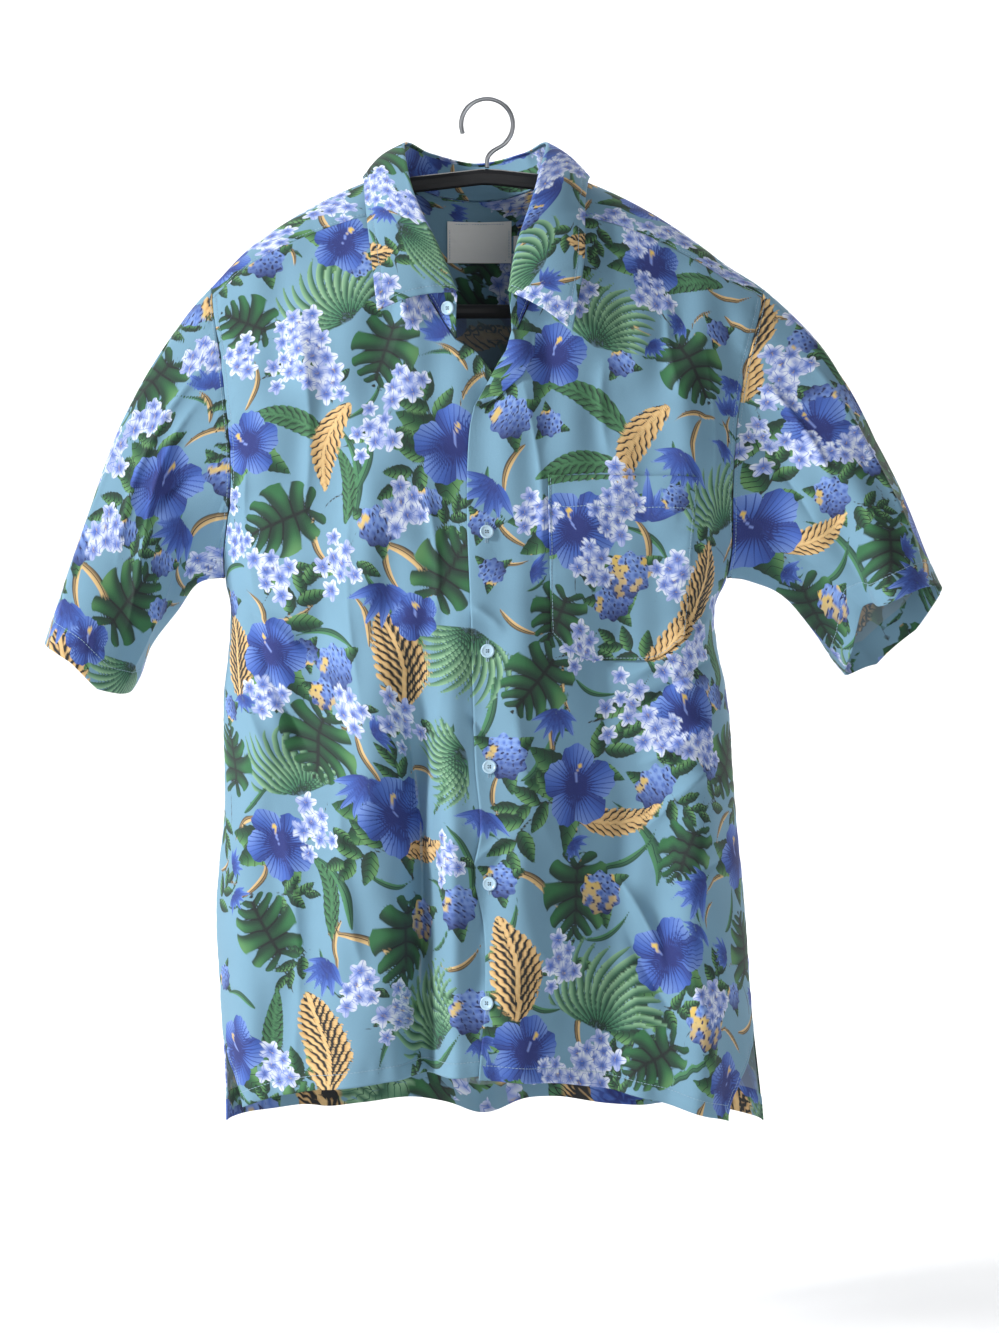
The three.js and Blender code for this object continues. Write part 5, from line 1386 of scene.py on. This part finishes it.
def cloth_material(name):
    """Printed cotton, paler and greyer on its wrong side."""
    material, shader = new_material(
        name, GROUND, COTTON_ROUGHNESS, Specular_IOR_Level=0.25, Sheen_Weight=0.12, Sheen_Roughness=0.4)
    n = Nodes(material)
    place = n.add("ShaderNodeUVMap", uv_map="cloth").outputs["UV"]

    def noise_at(scale, detail):
        node = n.add("ShaderNodeTexNoise")
        n.link(place, node.inputs["Vector"])
        node.inputs["Scale"].default_value, node.inputs["Detail"].default_value = scale, detail
        return node.outputs["Fac"]

    colour = n.mixed(n.ramp(noise_at(14, 2), 0.3, 0.7), GROUND * 0.95, GROUND * 1.04)
    for key in ("leaf", "bloom"):
        line = n.ramp(n.maths("ABSOLUTE", n.attribute(f"{key}_line", "Fac")), 0.7, 0.3)
        ink = n.mixed(line, n.attribute(f"{key}_body", "Color"), n.attribute(f"{key}_stroke", "Color"))
        colour = n.mixed(n.ramp(n.attribute(f"{key}_in", "Fac"), -0.3, 0.3), colour, ink)
    wrong = n.maths("MULTIPLY", n.ramp(n.attribute("wrong", "Fac"), -0.3, 0.3), 0.5)
    colour = n.mixed(wrong, colour, tuple(tone(150, 166, 174)))
    yarn = n.ramp(noise_at(YARN_SCALE, 1), 0.25, 0.75)
    colour = n.mixed(yarn, n.mixed(0.1, colour, (0.02, 0.03, 0.05)), n.mixed(0.05, colour, (1.0, 1.0, 1.0)))
    n.link(colour, shader.inputs["Base Color"])
    weave = n.add("ShaderNodeTexWave", wave_type="BANDS", bands_direction="X")
    weft = n.add("ShaderNodeTexWave", wave_type="BANDS", bands_direction="Y")
    for wave in (weave, weft):
        n.link(place, wave.inputs["Vector"])
        wave.inputs["Scale"].default_value = WEAVE_SCALE
        wave.inputs["Distortion"].default_value = 1.0
    height = n.maths("ADD", n.maths("MULTIPLY", weave.outputs["Fac"], weft.outputs["Fac"]),
                     n.maths("MULTIPLY", noise_at(CRUMPLE_SCALE, 3), 1.6))
    bump = n.add("ShaderNodeBump")
    bump.inputs["Strength"].default_value = 0.22
    bump.inputs["Distance"].default_value = 0.0004
    n.link(height, bump.inputs["Height"])
    n.link(bump.outputs["Normal"], shader.inputs["Normal"])
    return material


PRINTED = cloth_material("printed_cotton")

# Cloth pieces
LARGE = [(kind, *place) for kind, places in PRINT.items() for place in places]
ROWS_PRINT = expand(strewn(LARGE))
RIGHT_END, LEFT_START = 4, -22
RIGHT_PRINT = [row for row in ROWS_PRINT if row[1] < RIGHT_END]
LEFT_PRINT = [row for row in ROWS_PRINT if row[1] > LEFT_START]
FRONT_TABLES = flat_tables(-1)
FRONT_WAY, BACK_WAY, UP_WAY = np.array([0, -1.0, 0]), np.array([0, 1.0, 0]), np.array([0, 0, 1.0])

made = {}


def body_piece(name, build, tables, toward, fine, coarse, rows, **details):
    for (columns, count), inside in ((fine, False), (coarse, True)):
        grid, flat = build(columns, count)
        piece = name + ("_inside" if inside else "")
        place = flat_lengths(grid, columns // 2)
        if tables:
            place = flat_place(tables, flat[..., 0], flat[..., 1])
        made[piece] = cloth(piece, grid, place, toward, rows, inside=inside, **details)


def right_front(columns, rows):
    grid, flat = front_panel(-1, NECK_RIGHT, OPEN_RIGHT, EDGE_RIGHT, HEM_RIGHT, columns, rows)
    return tuck_under(grid), flat


def left_front(columns, rows):
    return front_panel(1, NECK_LEFT, OPEN_LEFT, EDGE_LEFT, HEM_LEFT, columns, rows)


body_piece("shirt_front_right", right_front, FRONT_TABLES, FRONT_WAY, (170, 400), (80, 190), RIGHT_PRINT,
           seams=(("bottom", 12, 0.3), ("right", 4, 0)), turned_up=("bottom", 14), seed=3)
body_piece("shirt_front_left", left_front, FRONT_TABLES, FRONT_WAY, (170, 400), (80, 190), LEFT_PRINT,
           seams=(("bottom", 12, 0.3), ("right", 4, 0)), turned_up=("bottom", 14), seed=5)
body_piece("shirt_back", back_panel, None, BACK_WAY, (240, 350), (120, 170), ROWS_PRINT,
           shift=(130, 210), repeat=True, seams=(("bottom", 22, 0.4),), turned_up=("bottom", 24), seed=7)

coarse_right, _ = right_front(FRONT_COLUMNS, ROWS)
coarse_left, _ = left_front(FRONT_COLUMNS, ROWS)
coarse_yoke, _ = yoke_panel(2 * SEAM_COLUMNS + YOKE_NECK_COLUMNS, YOKE_ROWS)
coarse_back, _ = back_panel(BACK_COLUMNS, ROWS)

for fine, inside in (((280, 112), False), ((140, 56), True)):
    grid, _ = yoke_panel(*fine)
    ridge_row = int(round(fine[1] * (len(YOKE_FRONT_STEPS) - 1) / YOKE_ROWS))
    name = "shirt_yoke" + ("_inside" if inside else "")
    made[name] = cloth(name, grid, flat_lengths(grid, None, ridge_row), UP_WAY, ROWS_PRINT, inside=inside,
                       shift=(60, -420), repeat=True, seams=(("bottom", 2.5, 0), ("top", 2.5, 0)), seed=9)

right_shapes = (HEM_WAVE_RIGHT, SLEEVE_FOLDS_RIGHT, SLEEVE_CREASES_RIGHT)
left_shapes = (HEM_WAVE_LEFT, SLEEVE_FOLDS_LEFT, SLEEVE_CREASES_LEFT)
for name, sleeve, front, shapes, shift in (
    ("shirt_sleeve_right", SLEEVE_RIGHT, coarse_right, right_shapes, (-60, -220)),
    ("shirt_sleeve_left", SLEEVE_LEFT, coarse_left, left_shapes, (130, -500)),
):
    ring = armhole(sleeve["side"], front, coarse_yoke, coarse_back)
    ring = np.roll(ring, -int(np.argmin(ring[:, 2])), axis=0)
    for per_span, count, inside in ((11, 130, False), (5, 60, True)):
        grid = sleeve_panel(sleeve, ring, *shapes, per_span, count)
        grid = np.concatenate([grid, grid[:, :1]], 1)
        middle = grid.mean(axis=1, keepdims=True)
        piece = name + ("_inside" if inside else "")
        made[piece] = cloth(
            piece, grid, sleeve_flat(grid, sleeve), grid - middle, ROWS_PRINT, tube=True, inside=inside,
            shift=shift, turned=12 * sleeve["side"], repeat=True,
            seams=(("bottom", 21, 0.4), ("top", 2.5, 0)), turned_up=("bottom", 24), seed=11)

neck = neckline(coarse_right, coarse_yoke, coarse_left)
collar = collar_stations(neck, 340)
stand, fall = stand_panel(collar, 24), fall_panel(collar, 8, 44)
fall_way = np.concatenate([collar["up"][None]] * 5 + [collar["out"][None]] * (len(fall) - 5))
stand_way = np.broadcast_to(collar["out"][None], stand.shape)
for name, grid, toward, shift, seams in (
    ("shirt_collar_stand", stand, stand_way, (40, -300), (("top", 3, 0),)),
    ("shirt_collar_fall", fall, fall_way, (-40, -330), (("bottom", 6, 0), ("left", 6, 0), ("right", 6, 0))),
):
    for step, inside in ((1, False), (2, True)):
        part, way = grid[::step, ::step], toward[::step, ::step]
        piece = name + ("_inside" if inside else "")
        made[piece] = cloth(piece, part, flat_lengths(part), way, ROWS_PRINT, inside=inside, shift=shift,
                            repeat=True, seams=seams, seed=13)

grid = lapel_panel(24, 50)
made["shirt_front_facing"] = cloth("shirt_front_facing", grid, flat_lengths(grid), FRONT_WAY, ROWS_PRINT,
                                   shift=(-150, -560), repeat=True)
grid = pocket_panel(86, 104)
flat = flat_place(FRONT_TABLES, angle_at(grid[..., 0], grid[..., 2]), grid[..., 2])
made["shirt_pocket"] = cloth(
    "shirt_pocket", grid, flat, FRONT_WAY, LEFT_PRINT, shift=(0, 6), seed=15,
    seams=(("top", 26, 0.4), ("left", 2, 0), ("right", 2, 0), ("bottom", 2, 0)))


# Fastenings: buttons with their thread, and the buttonholes' stitches
def lathe(profile, sides):
    turn = np.arange(sides + 1) / sides * 2 * math.pi
    out, up = np.array(profile).T[..., None]
    grid = np.stack([out * np.cos(turn), out * np.sin(turn), up + 0 * turn], -1)
    return grid.reshape(-1, 3), grid_faces(len(profile), sides + 1, True)


def placed(points, centre, normal):
    """Points with their third axis turned to a normal and moved to a centre."""
    side = unit(np.cross([0.0, 0.0, 1.0], normal))
    return centre + points @ np.stack([side, np.cross(normal, side), normal])


def node_points(name):
    """Points of a CAD node, in millimetres."""
    return np.array([v.co[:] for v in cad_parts[name].data.vertices]) * MM


# Radius and height of the dished button, and its four eyes with their crossed threads; each eye is a dark
# disc laid on the button's face, painted shade standing in for the shaded hollow of a hole
BUTTON_PROFILE = (
    (0, -1.2), (4.4, -1.2), (5.3, -0.9), (5.7, -0.3), (5.75, 0.2), (5.6, 0.7),
    (5.2, 1.05), (4.7, 1.15), (4.2, 1.0), (3.7, 0.62), (3.2, 0.5), (0, 0.5),
)
BUTTON_UP = 1.35
EYE_AWAY, EYE_RADIUS, EYE_EDGE, EYE_FLOOR, EYE_UP = 1.15, 0.5, 0.18, 0.5, 0.56
CROSS_REACH, CROSS_UP, CROSS_HALF, CROSS_THICK = 0.828, 0.62, 0.3, 0.28
button_points, button_faces = lathe(BUTTON_PROFILE, 48)
eye_points, eye_faces = lathe(((EYE_RADIUS + EYE_EDGE, EYE_FLOOR), (EYE_RADIUS, EYE_UP), (0, EYE_UP)), 16)


def stand_button_seat():
    """Centre and normal of the button at the collar stand, from its flat CAD solid."""
    spread = node_points("button_stand")
    _, _, axes = np.linalg.svd(spread - spread.mean(0))
    normal = axes[2] if axes[2][1] < 0 else -axes[2]
    return spread.mean(0) - normal * 0.2, normal


seats = {}
for k, (x, z) in enumerate(BUTTON_SPOTS):
    point, normal = surface_at(np.array(x), np.array(z))
    seats[f"button_{k + 1}"] = (point + normal * (OUT + BUTTON_UP), normal)
seats["button_stand"] = stand_button_seat()
BUTTONS, eyes = {}, []
for name, (centre, normal) in seats.items():
    BUTTONS[name] = new_object("shirt_" + name, placed(button_points, centre, normal), button_faces)
    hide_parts(name)
    for k in range(4):
        turn = (45 + 90 * k) * DEG
        away = np.array([EYE_AWAY * math.cos(turn), EYE_AWAY * math.sin(turn), 0.0])
        eyes.append(placed(eye_points + away, centre, normal))
    for lean in (-CROSS_REACH, CROSS_REACH):
        ends = np.array([[-CROSS_REACH, -lean, CROSS_UP], [CROSS_REACH, lean, CROSS_UP]])
        start, end = placed(ends, centre, normal)
        side = unit(np.cross(end - start, normal)) * CROSS_HALF
        STITCHES.append(thread(start, end, side, normal * CROSS_THICK)[None])
eye_quads = np.concatenate([eye_faces + len(eye_points) * k for k in range(len(eyes))])
# The eye discs make one object, dark with painted shade in place of the holes' hollows
hole_shade_discs = new_object("shirt_button_eyes", np.concatenate(eyes), eye_quads)

HOLE_LONG, HOLE_WIDE, HOLE_PITCH, HOLE_SLIT = 17.0, 2.8, 0.75, 0.25
HOLE_THREAD_HALF, HOLE_THREAD_THICK = np.array([0, 0, 0.27]), 0.3
for x, z in BUTTON_SPOTS:
    for across in (-1, 1):
        at_z = np.arange(z - HOLE_LONG / 2, z + HOLE_LONG / 2, HOLE_PITCH)
        start, up = surface_at(np.full_like(at_z, x + across * HOLE_SLIT), at_z)
        end, _ = surface_at(np.full_like(at_z, x + across * HOLE_WIDE / 2), at_z + 0.1)
        away = up * (OUT + THREAD_UP)
        STITCHES.append(thread(start + away, end + away, HOLE_THREAD_HALF, up * HOLE_THREAD_THICK, 0.6))

# The label is sewn on all round, a little inside its edge
label_points = node_points("neck_label")
LABEL_INSET, LABEL_STEPS = 2.2, 24


def on_label(x, z):
    """The label's front face, as a smooth surface through its CAD points."""
    def terms(a, b):
        return np.stack([np.ones_like(a), a, b, a * a, a * b, b * b], -1)
    front = label_points[label_points[:, 1] < np.median(label_points[:, 1])]
    fit = np.linalg.lstsq(terms(front[:, 0], front[:, 2]), front[:, 1], rcond=None)[0]
    return np.stack([x, terms(x, z) @ fit, z], -1)


left, _, bottom = label_points.min(0) + LABEL_INSET
right, _, top = label_points.max(0) - LABEL_INSET
corners = [(left, bottom), (right, bottom), (right, top), (left, top)]
for (x0, z0), (x1, z1) in zip(corners, corners[1:] + corners[:1]):
    share = np.linspace(0, 1, LABEL_STEPS)
    edge = on_label(lerp(x0, x1, share), lerp(z0, z1, share)) - [0, 0.5, 0]
    add_stitches(edge, np.tile([0.0, -1.0, 0.0], (LABEL_STEPS, 1)), 2.4, 1.7)
bricks = np.concatenate(STITCHES)
thread_faces = (np.arange(len(bricks))[:, None, None] * 8 + BRICK[None]).reshape(-1, 4)
stitching = new_object("shirt_stitching", bricks.reshape(-1, 3), thread_faces)

for name, piece in made.items():
    if not name.endswith("_inside"):
        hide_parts(name.removeprefix("shirt_"))

# Hard parts keep their solids
LOOKS = {
    "button": new_material("button_plastic", tone(176, 206, 224), 0.28, Coat_Weight=0.3)[0],
    "label": new_material("label_satin", tone(250, 249, 244), 0.55, Sheen_Weight=0.2)[0],
    "hanger": new_material("hanger_plastic", tone(22, 22, 25), 0.5)[0],
    "hook": new_material("hook_steel", tone(170, 172, 176), 0.3, 1.0)[0],
}
NODE_LOOKS = {"hanger": "hanger", "hanger_hook": "hook", "neck_label": "label", "size_tab": "label"}
for node, look in NODE_LOOKS.items():
    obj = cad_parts[node]
    obj.data.materials.clear()
    obj.data.materials.append(LOOKS[look])
    obj.data.shade_smooth()
for obj in BUTTONS.values():
    obj.data.materials.append(LOOKS["button"])
# Near-black eye discs: painted shade in the button's holes
hole_shade_discs.data.materials.append(new_material("button_eye", tone(24, 28, 40), 0.7)[0])
stitching.data.materials.append(new_material("thread", tone(150, 178, 196), 0.7)[0])

# Floor, light and camera
low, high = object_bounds()
FLOOR_Z, FLOOR_FRONT = low.z - 0.22, -14.0
SWEEP_Y, SWEEP_RADIUS, SWEEP_STEPS, SWEEP_WIDE, SWEEP_HIGH = 6.5, 2.0, 12, 30.0, 9.0
bend_y = SWEEP_Y - SWEEP_RADIUS
profile = [(FLOOR_FRONT, FLOOR_Z), (bend_y, FLOOR_Z)]
for k in range(1, SWEEP_STEPS + 1):
    turn = k / SWEEP_STEPS * math.pi / 2
    rise = SWEEP_RADIUS * (1 - math.cos(turn))
    profile.append((bend_y + SWEEP_RADIUS * math.sin(turn), FLOOR_Z + rise))
profile.append((SWEEP_Y, FLOOR_Z + SWEEP_HIGH))
sweep_mesh = bpy.data.meshes.new("backdrop")
sweep_mesh.from_pydata(
    [(x, y, z) for y, z in profile for x in (-SWEEP_WIDE / 2, SWEEP_WIDE / 2)], [],
    [(2 * k, 2 * k + 1, 2 * k + 3, 2 * k + 2) for k in range(len(profile) - 1)])
sweep_mesh.shade_smooth()
backdrop = bpy.data.objects.new("backdrop", sweep_mesh)
bpy.context.scene.collection.objects.link(backdrop)
backdrop.data.materials.append(new_material("backdrop_pale", (0.88, 0.88, 0.88), 0.9)[0])

scene = bpy.context.scene
world = bpy.data.worlds.new("studio") if scene.world is None else scene.world
scene.world = world
world.use_nodes = True
sky = world.node_tree.nodes["Background"].inputs
sky["Color"].default_value = (0.92, 0.95, 1.0, 1)
sky["Strength"].default_value = 0.22
scene.view_settings.view_transform = "Standard"


def area_light(name, place, target, size, power):
    data = bpy.data.lights.new(name, "AREA")
    data.size, data.energy = size, power
    lamp = bpy.data.objects.new(name, data)
    scene.collection.objects.link(lamp)
    lamp.location = place
    way = Vector(target) - Vector(place)
    lamp.rotation_euler = way.to_track_quat("-Z", "Y").to_euler()


area_light("key", (-3.6, -1.75, 1.05), (0, 0, -0.5), 0.7, 190)
area_light("fill", (0.9, -2.8, 0.0), (0.0, 0, -0.4), 1.2, 12)
area_light("rim", (1.6, 2.0, 0.9), (0, 0, -0.4), 1.0, 30)
area_light("backdrop_light", (0, 3.0, 4.2), (0, 6.5, -0.6), 4.0, 330)

# The photograph is taken level, from straight in front
SENSOR_WIDE, LENS, CAMERA_AT = 36, 80.55, (0.0106, -1.9, -0.4807)
camera_data = bpy.data.cameras.new("camera")
camera_data.sensor_fit, camera_data.sensor_width, camera_data.lens = "HORIZONTAL", SENSOR_WIDE, LENS
camera = bpy.data.objects.new("camera", camera_data)
scene.collection.objects.link(camera)
camera.location = CAMERA_AT
camera.rotation_euler = (math.pi / 2, 0, 0)
scene.camera = camera
